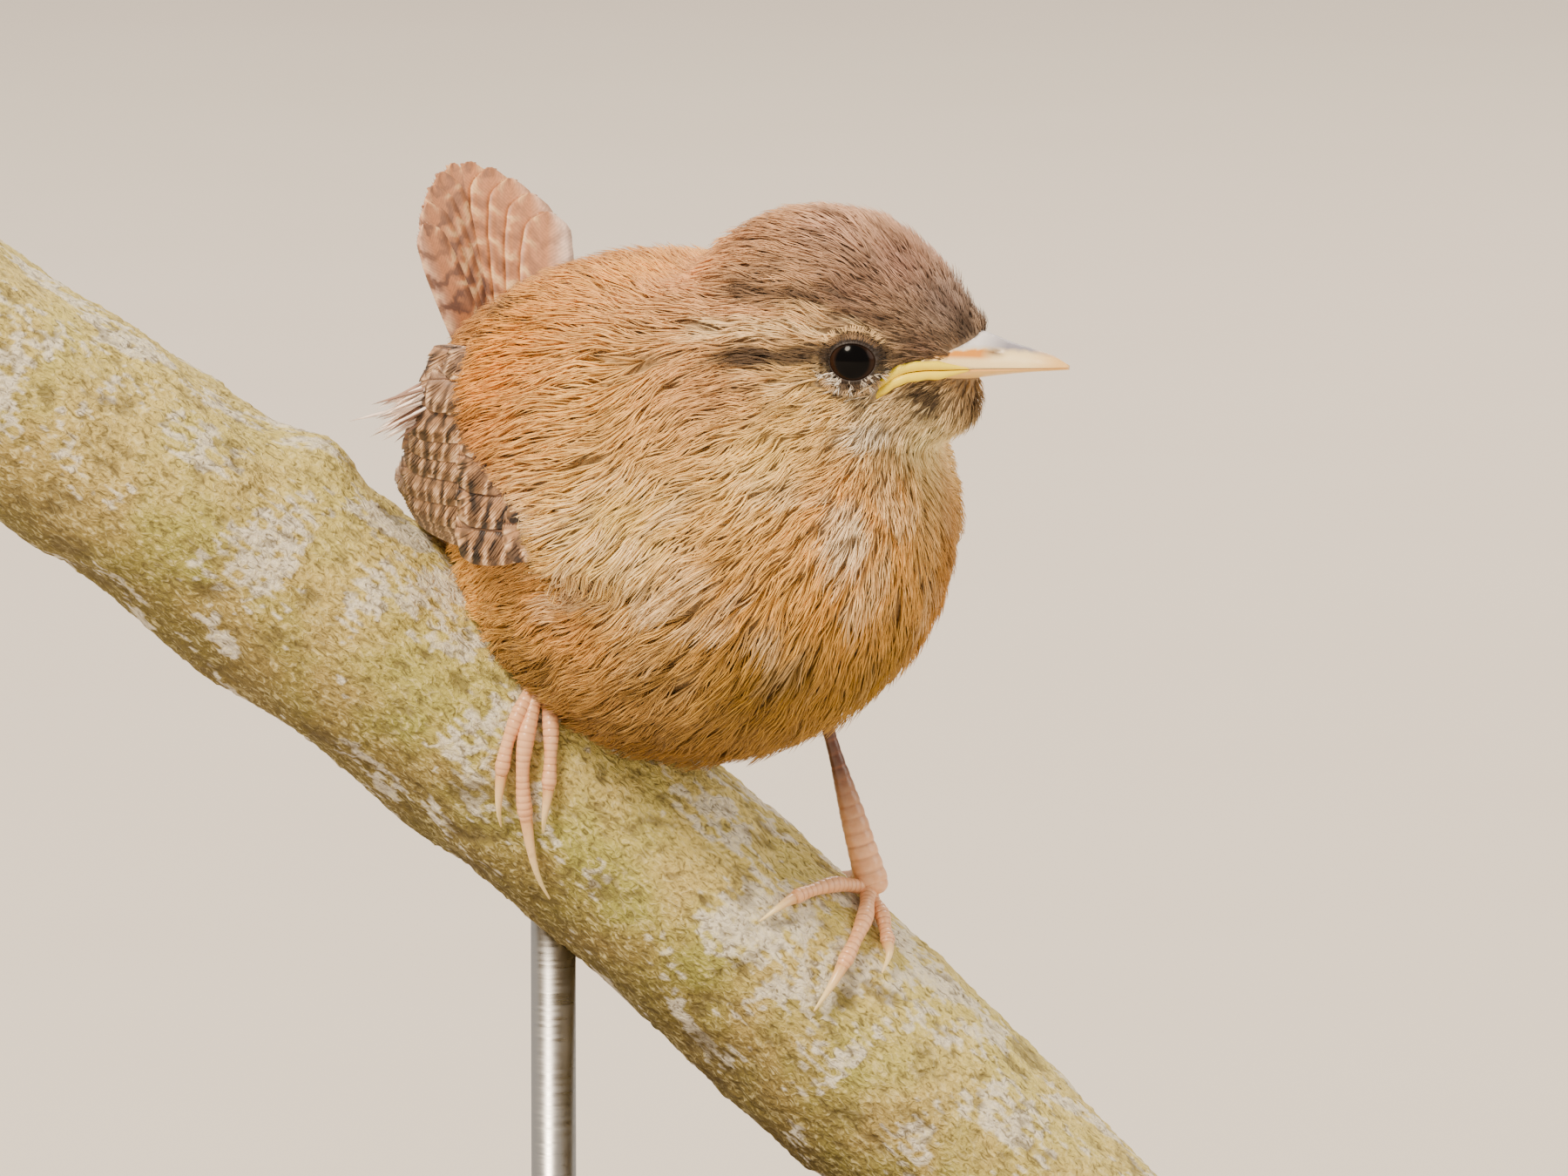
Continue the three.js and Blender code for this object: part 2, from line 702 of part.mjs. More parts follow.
// The flesh is one whole, hollowed for the branch and the legs, and then parted at the neck.
const legRoom = Object.values(LEGS).map((leg) => legSolid(leg, GAP));
const flesh = skinSolid(0).subtract(join([branchRoom, ...legRoom]));
const far = 60;
add("torso", flesh.intersect(neckSlab(-far, NECK.low - GAP / 2)), "plumage");
add("neck", flesh.intersect(neckSlab(NECK.low + GAP / 2, NECK.high - GAP / 2)), "plumage");

const lids = Object.values(SIDES).map(eyeLid);
const eyeRoom = Object.values(SIDES).map((side) => eyeBall(side, GAP));
const billRoom = [true, false].map((upper) => placed(headFrame, billSolid(upper, GAP)));
const headWhole = join([flesh.intersect(neckSlab(NECK.high + GAP / 2, far)), ...lids]);
add("head", headWhole.subtract(join([...eyeRoom, ...billRoom])), "plumage");

const billUpper = billSolid(true, 0).subtract(join(Object.values(SIDES).map(nostril)));
add("bill_upper", placed(headFrame, billUpper), "bill");
add("bill_lower", placed(headFrame, billSolid(false, 0)), "bill");

for (const [name, side] of Object.entries(SIDES)) {
  add("eye_" + name, eyeBall(side, 0), "eye");
  add("wing_" + name, placed(bodyFrame, wingSolid(side)).subtract(branchRoom), "flight");
  add("leg_" + name, legSolid(LEGS[name], 0), "leg");
}
add("tail", placed(tailFrame, tailSolid()).subtract(skinSolid(GAP)), "flight");

add("perch", branch, "bark");
add("stand_base", baseSolid(), "wood");
add("stand_rod", rodSolid(branchRoom), "steel");

export default model;
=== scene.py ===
"""A young wren on a cut branch: the plumage, bill, eyes, feet, bark and stand around the fixed frame.

Sizes are in millimetres until a mesh is written. The bird's own frames have x forward, y to its left
and z up, and the forms repeat those of the solids, so the coat's tips end on the solids' surface.
"""
import math
from functools import partial

import bmesh
import bpy
import numpy as np
from mathutils import Matrix, Vector, kdtree


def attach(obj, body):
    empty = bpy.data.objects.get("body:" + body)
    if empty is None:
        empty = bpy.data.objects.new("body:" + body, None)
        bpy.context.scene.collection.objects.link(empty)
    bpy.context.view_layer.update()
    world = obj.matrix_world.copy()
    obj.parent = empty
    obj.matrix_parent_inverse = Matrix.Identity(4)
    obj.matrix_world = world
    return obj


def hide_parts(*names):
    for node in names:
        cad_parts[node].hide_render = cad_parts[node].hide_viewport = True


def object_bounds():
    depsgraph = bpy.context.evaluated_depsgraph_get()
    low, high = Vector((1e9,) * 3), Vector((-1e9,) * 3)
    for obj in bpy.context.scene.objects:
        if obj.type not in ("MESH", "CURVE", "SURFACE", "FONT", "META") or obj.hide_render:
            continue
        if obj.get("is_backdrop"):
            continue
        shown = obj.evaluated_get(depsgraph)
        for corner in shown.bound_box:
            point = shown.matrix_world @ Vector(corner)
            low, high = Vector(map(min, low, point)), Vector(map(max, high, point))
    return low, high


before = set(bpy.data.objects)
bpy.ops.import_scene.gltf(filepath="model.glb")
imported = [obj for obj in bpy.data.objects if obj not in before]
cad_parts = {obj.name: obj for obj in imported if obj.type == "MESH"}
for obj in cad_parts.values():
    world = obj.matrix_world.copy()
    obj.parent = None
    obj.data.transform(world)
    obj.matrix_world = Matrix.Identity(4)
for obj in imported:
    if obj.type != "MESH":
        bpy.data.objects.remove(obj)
cad_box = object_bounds()

MM = 0.001

# Camera
PHOTO_WIDTH = 1800
PHOTO_SCALE = 14.5  # photograph pixels to the millimetre at the bird
DISTANCE = 1200
ELEVATION = math.radians(8)
SENSOR = 36
AIM = (7.93, -5.86)  # from the middle of the trunk to the middle of the view, right and up

# The bird's frames: yaw and pitch are in degrees
BODY = {"x": 12, "y": -6, "z": 79, "yaw": -50, "pitch": -2}
HEAD = {"x": 16, "y": 4, "z": 14.6, "yaw": 30, "pitch": 3}

# Ellipsoids of the plumage: x, y, z, rx, ry, rz
TRUNK_FORMS = np.array([
    [-0.3, 0, -1, 20.3, 16.9, 18.8],
    [6.6, 1, -1.6, 15.4, 17, 15.2],
    [-3, 0, 6, 15.5, 14.8, 14.8],
    [-13, -0.4, 6.2, 10.6, 13, 11.7],
    [11, 1, 8.8, 10.6, 12, 10.8],
])
HEAD_FORMS = np.array([
    [-2.2, 0, 1.6, 11, 8.5, 8.9],
    [3.5, 0, 0.9, 6, 4.8, 4.8],
    [5.4, 0, -1.2, 5.6, 3.9, 4.4],
    [-1.6, 3.4, -3.4, 6.4, 4.7, 5.3],
    [-1.6, -3.4, -3.4, 6.4, 4.7, 5.3],
    [4.8, 0, -4.6, 6.1, 4, 3.3],
    [7.2, 0, 1.1, 3.9, 2.8, 1.8],
])
# How softly the forms of each and the two together run into one another
BLEND_TRUNK, BLEND_HEAD, BLEND_THROAT = 1.5, 0.8, 1
# The skin is traced towards this point from so far out, with more of its points towards the face
SKIN_MIDDLE = np.array([8.5, 2, 6.5])
SKIN_CROWD = 0.45 * np.array([0.64, 0.14, 0.75])
SKIN_MOST = 42

# The eyeballs: place in the head's frame, radius, depth in the plumage, and degrees turned ahead
EYE = {"x": 0.9, "z": -0.8, "radius": 2.3, "sunk": 1.25, "toe": 16}

# Bill stations from the gape to the tip: x, half width, ridge, mouth, keel
BILL = np.array([
    [5.4, 4.9, 0.3, -2.6, -3.5],
    [7.2, 4.5, 1.05, -1.7, -2.85],
    [9.5, 3.45, 1.25, -1.54, -2.6],
    [11.4, 2.4, 1.05, -1.46, -2.26],
    [13.3, 1.75, 0.5, -1.38, -1.93],
    [15.4, 1.18, 0.04, -1.28, -1.62],
    [17.1, 0.7, -0.38, -1.2, -1.42],
    [18.3, 0.16, -0.95, -1.15, -1.28],
])
MOUTH_LINE = 0.025  # half the dark line between the closed halves
NOSTRIL = (12.6, 1.5, -0.15)
NOSTRIL_SIZE = (0.75, 0.8, 0.26)
# The soft edges of the gape: x, y, z, radius
FLANGE = np.array([
    [4.1, 5.3, -3.7, 0.24],
    [4.9, 5.35, -2.85, 0.34],
    [6.2, 5.05, -1.95, 0.38],
    [7.7, 4.4, -1.62, 0.37],
    [9.4, 3.65, -1.54, 0.33],
    [11, 2.7, -1.48, 0.25],
])

# The branch: a tube that bends a little, round a line in the plane y = 0
# Its high end is at x and z, and it slopes by these degrees at its high and its low end
BRANCH = {"length": 121, "x": -49, "z": 93.25, "high": 32.5, "low": 46.2, "radius": (9.5, 9.7)}
BRANCH_TILT = math.radians(BRANCH["high"])
BRANCH_BEND = math.radians(BRANCH["low"] - BRANCH["high"]) / BRANCH["length"]
BEND_CENTRE = np.array([
    BRANCH["x"] - math.sin(BRANCH_TILT) / BRANCH_BEND,
    0,
    BRANCH["z"] - math.cos(BRANCH_TILT) / BRANCH_BEND,
])
BRANCH_ROUND = 9.6  # its mean radius, for patterns on its surface
# The knob on its top: mm along, degrees round, how wide and how high
KNOB = {"along": 32.2, "angle": 84, "size": 3.4, "height": 1.9}


# Frames and fields
def frame_at(x, y, z, yaw, pitch):
    """The frame at a place, turned by yaw and pitch in degrees."""
    turn = Matrix.Rotation(math.radians(yaw), 4, "Z") @ Matrix.Rotation(math.radians(pitch), 4, "Y")
    return np.array(Matrix.Translation((x, y, z)) @ turn)


def into(matrix, points):
    """The points, carried out of a frame by its matrix."""
    return points @ matrix[:3, :3].T + matrix[:3, 3]


BODY_FRAME = frame_at(**BODY)
HEAD_IN_BODY = frame_at(**HEAD)
HEAD_FRAME = BODY_FRAME @ HEAD_IN_BODY
BODY_IN_HEAD = np.linalg.inv(HEAD_IN_BODY)


def unit(vectors):
    """The vectors at length 1."""
    return vectors / np.maximum(np.linalg.norm(vectors, axis=-1, keepdims=True), 1e-9)


def dot(a, b):
    """The product of two vectors, with its axis kept."""
    return np.sum(a * b, axis=-1, keepdims=True)


def ease(low, high, value):
    """0 below low, 1 above high and smooth between."""
    t = np.clip((value - low) / (high - low), 0, 1)
    return t * t * (3 - 2 * t)


def between(low, high, soft, value):
    """1 from low to high, 0 outside, with soft edges."""
    return ease(low - soft, low + soft, value) * (1 - ease(high - soft, high + soft, value))


def mix(a, b, t):
    """From a at 0 to b at 1."""
    return a + (b - a) * t


def soft_least(distances, blend):
    """The least of some distances, rounded where two are close."""
    least = distances.min(axis=0)
    return least - blend * np.log(np.exp((least - distances) / blend).sum(axis=0))


def form_distance(forms, points, blend):
    """Distance, roughly, to the outside of ellipsoids run together."""
    forms = forms.reshape((-1,) + (1,) * (points.ndim - 1) + (6,))
    away = points[None] - forms[..., :3]
    radii = forms[..., 3:]
    a = np.linalg.norm(away / radii, axis=-1)
    b = np.maximum(np.linalg.norm(away / radii**2, axis=-1), 1e-9)
    return soft_least(a * (a - 1) / b, blend)


SHOULDER_HEIGHT = 3.1  # of the shoulder's feathers over the trunk's form
# The lower edge of the shoulder's feathers, where the folded wing comes out under them
SHOULDER_EDGE_X = (-9, -7, -5, -2, 1.3, 3.6, 5.5)
SHOULDER_EDGE_Z = (13, 10, 6.6, 5, 2.8, 0.8, -3.5)


def shoulder_cover(points):
    """1 where the shoulder's feathers cover the folded wing, and 0 beyond them."""
    x, z = points[..., 0], points[..., 2]
    side = np.abs(points[..., 1])
    low = np.interp(x, SHOULDER_EDGE_X, SHOULDER_EDGE_Z)
    across = ease(2, 9, side) * ease(low - 1.3, low + 1.3, z)
    return across * ease(-10, -6.6, x + 0.15 * (z - 12)) * (1 - ease(8, 15.5, x))


def shoulder_rise(points):
    """How much higher the coat stands on the shoulder."""
    return SHOULDER_HEIGHT * shoulder_cover(points) * (1 - ease(13.5, 23, points[..., 2]))


def plumage(points):
    """Signed distance, roughly, from points of the body's frame to the outer form of the plumage."""
    trunk = form_distance(TRUNK_FORMS, points, BLEND_TRUNK)
    head = form_distance(HEAD_FORMS, into(BODY_IN_HEAD, points), BLEND_HEAD)
    return soft_least(np.stack([trunk, head]), BLEND_THROAT)


def coat(points):
    """The same with the shoulder's feathers."""
    return plumage(points) - shoulder_rise(points)


def slope(field, points, step=0.05):
    """The outward direction of a field at points."""
    level = field(points)
    steps = np.eye(3) * step
    return unit(np.stack([field(points + d) - level for d in steps], axis=-1)), level


def reach(field, start, direction, level, most, rounds=26):
    """How far along each direction the field is first met from outside."""
    far = np.full(direction.shape[:-1], float(most))
    for _ in range(rounds):
        far -= field(start + direction * far[..., None]) - level
    return far


def head_place(points):
    """Points of the body's frame in the head's frame."""
    return into(BODY_IN_HEAD, points)


def ripple(points, size, seed):
    """A smooth waving value from -1 to 1, with bumps of about the given size."""
    draw = np.random.default_rng(seed)
    total = 0
    for k in range(5):
        way = unit(draw.normal(size=3)) * (1.6 + 0.5 * k) / size
        total = total + np.sin(points @ way + draw.uniform(0, 6.28) + total)
    return total / 2.6


BILL_ROOT = into(HEAD_IN_BODY, np.array([10, 0, -0.9]))
WAVE_TURN = math.radians(17)  # how far the strands wave from side to side
VENT = np.array([-24, 0, -2])
FALL = np.array([0, 0, -0.3])


def lie(points, normals):
    """The way that the feathers point: away from the bill, and then down and back to the vent.

    Bands of them wave a little from side to side.
    """
    from_bill = points - BILL_ROOT
    far = np.linalg.norm(from_bill, axis=-1, keepdims=True)
    back = unit(VENT - points) + FALL
    way = mix(back, unit(from_bill), 1 - ease(14, 28, far))
    way = unit(way - normals * dot(way, normals))
    wave = (0.6 * ripple(points, 2.1, 61) + 0.5 * ripple(points, 0.9, 62))[..., None] * ease(3, 12, far)
    return way * np.cos(WAVE_TURN * wave) + np.cross(normals, way) * np.sin(WAVE_TURN * wave)


def feather_length(points):
    """Short on the face and longer down the body."""
    q = head_place(points)
    from_face = np.linalg.norm(q - np.array([8.5, 0, -1.2]), axis=-1)
    return mix(1.15, 2.5, ease(1.5, 13, from_face)) + 2.1 * ease(12, 27, from_face)


def coat_depth(points):
    """From the skin to the coat's outer form."""
    return 0.3 * feather_length(points)


# Meshes
def tube(path, radii, sides):
    """A closed tube along a path, with a radius for each of its points."""
    tangent = unit(np.gradient(path, axis=0))
    side = unit(np.cross(tangent[0], (0.13, 0.31, 0.94)))
    sides_at = []
    for t in tangent:
        side = unit(side - t * dot(side, t))
        sides_at.append(side)
    side = np.array(sides_at)
    rise = np.cross(tangent, side)
    turn = np.linspace(0, 2 * np.pi, sides, endpoint=False)
    ring = side[:, None] * np.cos(turn)[None, :, None] + rise[:, None] * np.sin(turn)[None, :, None]
    return closed_tube(path[:, None] + ring * radii[:, None, None])


def closed_tube(rings):
    """A solid through rings of points, with a fan over each end."""
    count, sides = rings.shape[:2]
    points = np.concatenate([rings.reshape(-1, 3), rings[0].mean(0)[None], rings[-1].mean(0)[None]])
    i, j = np.meshgrid(np.arange(count - 1), np.arange(sides), indexing="ij")
    a = (i * sides + j).ravel()
    b = (i * sides + (j + 1) % sides).ravel()
    walls = np.concatenate([np.stack([a, b, b + sides], 1), np.stack([a, b + sides, a + sides], 1)])
    k = np.arange(sides)
    first = np.stack([(k + 1) % sides, k, np.full(sides, count * sides)], 1)
    end = (count - 1) * sides
    last = np.stack([end + k, end + (k + 1) % sides, np.full(sides, count * sides + 1)], 1)
    return points, outward(points, np.concatenate([walls, first, last]))


def round_ball(subdivisions):
    """The points and the triangles of a ball of radius 1."""
    ball = bmesh.new()
    bmesh.ops.create_icosphere(ball, subdivisions=subdivisions, radius=1)
    points = np.array([v.co[:] for v in ball.verts])
    triangles = np.array([[v.index for v in f.verts] for f in ball.faces])
    ball.free()
    return points, triangles


def outward(points, triangles):
    """The triangles, turned right side out where they enclose a negative volume."""
    a, b, c = (points[triangles[:, i]] for i in range(3))
    volume = np.einsum("ij,ij->i", a, np.cross(b, c)).sum()
    return triangles if volume > 0 else triangles[:, ::-1]


def strands(paths, normals, widths, heights):
    """Barbs: a closed strip, triangular in section, on each path, that ends in a point.

    Paths and normals have the shape (strand, step, 3), widths and heights (strand, step).
    """
    count, steps = paths.shape[:2]
    tangent = unit(np.gradient(paths, axis=1))
    across = unit(np.cross(tangent, normals))
    body = paths[:, :-1]
    half = across[:, :-1] * widths[:, :-1, None] / 2
    ridge = normals[:, :-1] * heights[:, :-1, None]
    rings = np.stack([body + half, body - half, body + ridge], axis=2)
    per = 3 * (steps - 1) + 1
    points = np.concatenate([rings.reshape(count, per - 1, 3), paths[:, -1:]], axis=1)
    faces = [[0, 2, 1]]
    for k in range(steps - 2):
        for s in range(3):
            a, b = 3 * k + s, 3 * k + (s + 1) % 3
            faces += [[a, b, b + 3], [a, b + 3, a + 3]]
    for s in range(3):
        a, b = 3 * (steps - 2) + s, 3 * (steps - 2) + (s + 1) % 3
        faces.append([a, b, per - 1])
    triangles = np.array(faces)[None] + np.arange(count)[:, None, None] * per
    step_of = np.append(np.repeat(np.arange(steps - 1), 3), steps - 1)
    return points.reshape(-1, 3), triangles.reshape(-1, 3), step_of


def join(parts):
    """One set of points, triangles and attributes from several."""
    start = 0
    points, triangles, extra = [], [], {}
    for part in parts:
        points.append(part[0])
        triangles.append(part[1] + start)
        start += len(part[0])
        for key, values in part[2].items():
            extra.setdefault(key, []).append(values)
    extra = {key: np.concatenate(values) for key, values in extra.items()}
    return np.concatenate(points), np.concatenate(triangles), extra


# For each number of values at a point: the attribute's kind, and the field that takes them
ATTRIBUTE_KINDS = {1: ("FLOAT", "value"), 3: ("FLOAT_VECTOR", "vector"), 4: ("FLOAT_COLOR", "color")}


def piece(name, shape, finish, replaces=(), matrix=None, patch=None):
    """A mesh object from points, triangles and attributes, that rides on the part's one body."""
    points, triangles, extra = shape
    if matrix is not None:
        points = into(matrix, points)
    mesh = bpy.data.meshes.new(name)
    mesh.vertices.add(len(points))
    mesh.vertices.foreach_set("co", (points * MM).astype(np.float32).ravel())
    mesh.loops.add(triangles.size)
    corners = triangles.astype(np.int32).ravel()
    mesh.loops.foreach_set("vertex_index", corners)
    mesh.polygons.add(len(triangles))
    mesh.polygons.foreach_set("loop_start", np.arange(0, triangles.size, 3, dtype=np.int32))
    mesh.update(calc_edges=True)
    mesh.shade_smooth()
    for key, values in extra.items():
        kind, field = ATTRIBUTE_KINDS[1 if values.ndim == 1 else values.shape[1]]
        target = mesh.attributes.new(key, kind, "POINT")
        target.data.foreach_set(field, values.astype(np.float32).ravel())
    if patch is not None:
        layer = mesh.uv_layers.new(name="OFBake")
        layer.uv.foreach_set("vector", patch[corners].astype(np.float32).ravel())
    mesh.materials.append(finish)
    obj = bpy.data.objects.new(name, mesh)
    bpy.context.scene.collection.objects.link(obj)
    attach(obj, "root")
    if replaces:
        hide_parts(*replaces)
    return obj


# Colours and materials
def linear(colour, alpha=1.0):
    """An sRGB hex colour as the linear values that the shaders take."""
    parts = [int(colour[i:i + 2], 16) / 255 for i in (1, 3, 5)]
    return tuple(c / 12.92 if c <= 0.04045 else ((c + 0.055) / 1.055) ** 2.4 for c in parts) + (alpha,)


def node(tree, kind, links=None, values=None, **settings):
    """Adds a node with its settings, its sockets' values and its links from other nodes' sockets."""
    made = tree.nodes.new(kind)
    for key, value in settings.items():
        setattr(made, key, value)
    for key, value in (values or {}).items():
        made.inputs[key].default_value = value
    for key, socket in (links or {}).items():
        tree.links.new(socket, made.inputs[key])
    return made


def material(name):
    """A new material with no nodes, and the function that adds a node to it."""
    made = bpy.data.materials.new(name)
    made.use_nodes = True
    made.node_tree.nodes.clear()
    return made, partial(node, made.node_tree)


def finished(made, links, values):
    """The material, with links and values on the sockets of its shader."""
    shader = node(made.node_tree, "ShaderNodeBsdfPrincipled", links, values)
    node(made.node_tree, "ShaderNodeOutputMaterial", {"Surface": shader.outputs[0]})
    return made


def per_mm(size):
    """A texture scale, in object coordinates of metres, for features of a size in millimetres."""
    return 1 / (size * MM)


# Colours of the plumage
# Feather tracts of the head, then of the trunk: a place in its frame, on both sides where y isn't 0
HEAD_TRACTS = {
    "forehead": ((9, 2.4, 4), "#988175"),
    "crown front": ((5, 3, 6.3), "#b68c77"),
    "crown": ((0, 3.6, 9.4), "#dcaf90"),
    "crown side": ((2.5, 7.2, 4.4), "#9d7961"),
    "hind crown": ((-7, 3.5, 8.6), "#c29068"),
    "hind crown side": ((-6, 8.6, 4.2), "#e6b482"),
    "nape": ((-11, 4, 5.6), "#f0b277"),
    "ear coverts": ((-6.5, 10.8, -3.2), "#dfac6e"),
    "cheek": ((0, 9.4, -4.4), "#f8d07e"),
    "lores": ((7.6, 4.6, 0), "#7c604d"),
    "moustache": ((4, 6.2, -5.6), "#fae0ac"),
    "chin": ((10.4, 1.4, -4.2), "#bd9b6c"),
    "throat": ((7, 1.6, -7.6), "#fbebb2"),
}
TRUNK_TRACTS = {
    "mantle": ((2, 5, 19.5), "#f8b760"),
    "low mantle": ((-9, 0, 19.5), "#c98548"),
    "scapulars": ((-2, 14, 12), "#f7aa40"),
    "low scapulars": ((-5, 17, 4.4), "#c17638"),
    "shoulder": ((7.5, 14, 10), "#f8c46e"),
    "rump": ((-19, 4, 13), "#bf8446"),
    "neck": ((19, 7.5, 6), "#f8d582"),
    "upper breast": ((22.3, 3, 2), "#f6bb62"),
    "breast": ((22, 0, -4), "#f1b44f"),
    "flank": ((11, 15.5, 0.5), "#f9da84"),
    "low flank": ((4, 16.5, -6.5), "#e5a850"),
    "breast side": ((18, 9.5, -5.5), "#d69f46"),
    # The belly's two colours are darker partly from painted shade under the body
    "belly": ((16, 5, -11.5), "#a37a1e"),
    "low belly": ((4, 5, -19), "#8a6220"),
    "thigh": ((-3, 13.5, -12), "#ad8138"),
    "vent": ((-10, 14, -6), "#f5bb5a"),
    "under tail": ((-20, 5, -7), "#c8964d"),
}
FADE = 3  # how fast one tract's colour gives way to the next


def tract_colour(points):
    """The tracts' colours, run together over the bird."""
    total = np.zeros(points.shape)
    weight = np.zeros(points.shape[:-1] + (1,))
    for tracts, places in ((HEAD_TRACTS, head_place(points)), (TRUNK_TRACTS, points)):
        for place, colour in tracts.values():
            for side in (1, -1):
                near = np.linalg.norm(places - np.array(place) * (1, side, 1), axis=-1, keepdims=True)
                share = (near + 0.6) ** -FADE
                total += share * np.array(linear(colour)[:3])
                weight += share
    return total / weight


def eye_place(side):
    """The middle of an eyeball in the head's frame, and the way that it looks."""
    yaw = side * math.radians(90 - EYE["toe"])
    outward_way = np.array([math.cos(yaw), math.sin(yaw), 0])
    start = np.array([EYE["x"], 0, EYE["z"]]) + 2 * outward_way
    in_body = into(HEAD_IN_BODY, start)
    way = HEAD_IN_BODY[:3, :3] @ outward_way
    far = reach(plumage, in_body, way[None], 0, 12)[0]
    return start + outward_way * (far - EYE["sunk"]), outward_way


EYES = {side: eye_place(side) for side in (1, -1)}


# Blotches of the eye stripe: their middle, their half length and height, and how dark they are
STRIPE = ((-0.9, 1.8, 0.8, 0.85), (-5.6, 2.6, 0.85, 0.9), (-2.8, 4.5, 0.6, 0.35))


def head_axes(points):
    """Ahead, out to either side and up in the head's frame."""
    q = head_place(points)
    return q, q[..., 0], np.abs(q[..., 1]), q[..., 2]


def head_share(q):
    """1 on the head and 0 on the trunk."""
    return 1 - ease(11, 15, np.linalg.norm(q - np.array([0, 0, 1]), axis=-1))


def crown_marks(points, fine, coarse):
    """Dark lines of the crown, the pale brow with its dark edge, the eye stripe and the lores."""
    q, x, y, z = head_axes(points)
    crown = ease(3.4, 5, z + 0.02 * x**2) * head_share(q)
    yield "#6b4f3d", 0.55 * crown * ease(0.1, 0.9, ripple(q * (0.35, 1, 1), 0.8, 5))
    ragged = 1.5 - 0.008 * (x + 1) ** 2 + 0.35 * fine
    brow = between(-0.8, 0.7, 0.35, z - ragged) * between(-10, 4.2, 1.4, x)
    yield "#fadba4", 0.85 * brow * ease(3.5, 5.5, y) * ease(-1, -0.1, coarse + fine * 0.5)
    yield "#f0c98e", 0.7 * between(0.9, 2, 0.4, z - ragged) * between(-2.4, 1.4, 0.8, x) * ease(4, 6, y)
    above = between(0.6, 1.5, 0.4, z - ragged) * between(1.6, 6.5, 0.8, x)
    above += between(1.9, 3, 0.5, z - ragged) * between(-8, 1.6, 1, x)
    yield "#57402f", 0.85 * above * ease(3, 5, y) * ease(-0.8, 0.1, fine)
    for middle, along, across, strength in STRIPE:
        level = -0.3 - 0.1 * np.clip(-x, 0, 8)
        off = np.hypot((x - middle) / along, (z - level) / across) + 0.22 * fine + 0.12 * coarse
        yield "#4d3c30", strength * (1 - ease(0.55, 1.2, off)) * ease(4, 6, y)
    lores = between(4.5, 9.6, 0.9, x) * between(-1.3, 1.3, 0.6, z) * ease(1.5, 3, y)
    yield "#4d3826", 0.75 * lores * ease(-0.5, 0.6, fine)
    yield "#3f2e22", 0.9 * ease(8.6, 10.4, x) * ease(0, 1.3, z) * ease(-1, 0.2, fine)


def eye_marks(points):
    """The dark ring round the eye, the pale line over it and the white flecks under it."""
    _, x, y, z = head_axes(points)
    eye = EYES[1][0]
    from_eye = np.linalg.norm(np.stack([x, y, z], -1) - eye, axis=-1)
    yield "#46362a", 0.9 * (1 - ease(2.3, 3, from_eye))
    yield "#d8b482", 0.8 * between(2.55, 3, 0.2, from_eye) * ease(0.6, 1.5, z - eye[2])
    under_eye = between(2.3, 3.5, 0.2, from_eye) * ease(0.2, 1.2, eye[2] - z)
    yield "#4a3a30", 0.7 * under_eye
    yield "#f0e2cc", 0.95 * under_eye * ease(0.05, 0.4, ripple(points, 0.4, 8))


def cheek_marks(points, fine):
    """The dark corner of the gape, the mottled cheek, the dusky chin and the pale moustache."""
    q, x, y, z = head_axes(points)
    gape = np.linalg.norm(np.stack([x - 7.6, (y - 4.2) * 0.7, z + 4.3], -1), axis=-1)
    yield "#42311f", 0.9 * (1 - ease(1, 2.1, gape)) * ease(-0.7, 0.3, fine)
    cheek = between(-8, 5.5, 1.5, x) * between(-7.5, -1.6, 1, z) * head_share(q)
    yield "#664d33", 0.65 * cheek * ease(0.35, 0.9, ripple(q, 0.75, 11))
    yield "#ffe0aa", 0.7 * cheek * ease(0.3, 0.9, ripple(q, 0.9, 12))
    under_bill = ease(9.4, 10.6, x) * between(-7.5, -2.6, 1, z)
    yield "#5f4830", 0.75 * under_bill * ease(-0.6, 0.4, ripple(q, 0.6, 17))
    pale = np.linalg.norm((np.stack([x, y, z], -1) - np.array([4, 6.2, -7])) / (2.6, 3.4, 1.3), axis=-1)
    yield "#ffefd2", 0.85 * (1 - ease(0.4, 1.2, pale + 0.2 * fine))


def body_marks(points, fine):
    """The streaked breast, the dark belly with painted shade towards the bottom, the flanks with painted
    light on the right and painted shade on the rufous left, and the shoulder's rim with its dark dashes.
    """
    x, y, z = points[..., 0], points[..., 1], points[..., 2]
    front = ease(6, 14, x) * (1 - ease(2, 8, z))
    yield "#f8dcaa", 0.6 * front * ease(0.1, 0.9, ripple(points, 2.2, 13)) * ease(-16, -6, z)
    white = np.linalg.norm((points - np.array([22, -1.6, -0.6])) / (4, 3, 3.6), axis=-1)
    yield "#fae8c6", 0.7 * (1 - ease(0.4, 1.2, white + 0.25 * fine))
    # Darker olive-brown towards the bottom of the belly: partly its own colour, partly painted shade under
    # the body
    yield "#8d6a30", 0.5 * (1 - ease(-13, -4, z)) * ease(0, 0.8, ripple(points, 2, 14))
    # Pale streaks on the right flank only, the side towards the light: partly painted light
    flank = between(2, 17, 2.5, x) * between(-7, 5, 2, z) * ease(11, 15, -y)
    yield "#ffe2b2", 0.65 * flank * ease(-0.1, 0.7, ripple(points * (0.5, 1, 1), 1.2, 15))
    # The left side, away from the light: darker rufous, partly its own colour and partly painted shade
    left = ease(6, 12, y) * between(-12, 3, 3, z) * ease(2, 8, x)
    yield "#a8702c", 0.7 * left
    behind = x - 0.25 * (8 - z)
    rim = between(-10, -6.4, 0.8, behind) * between(3, 17, 2, z)
    yield "#ffc578", 0.6 * rim * ease(10, 13, np.abs(y)) * ease(-0.6, 0.3, fine)
    dashes = between(-11, -3.6, 1, behind) * between(8.5, 20, 2, z)
    dashes *= ease(8, 11, np.abs(y))
    yield "#4f3524", 0.85 * dashes * ease(0.15, 0.5, ripple(points * (0.5, 1, 1), 0.8, 18))


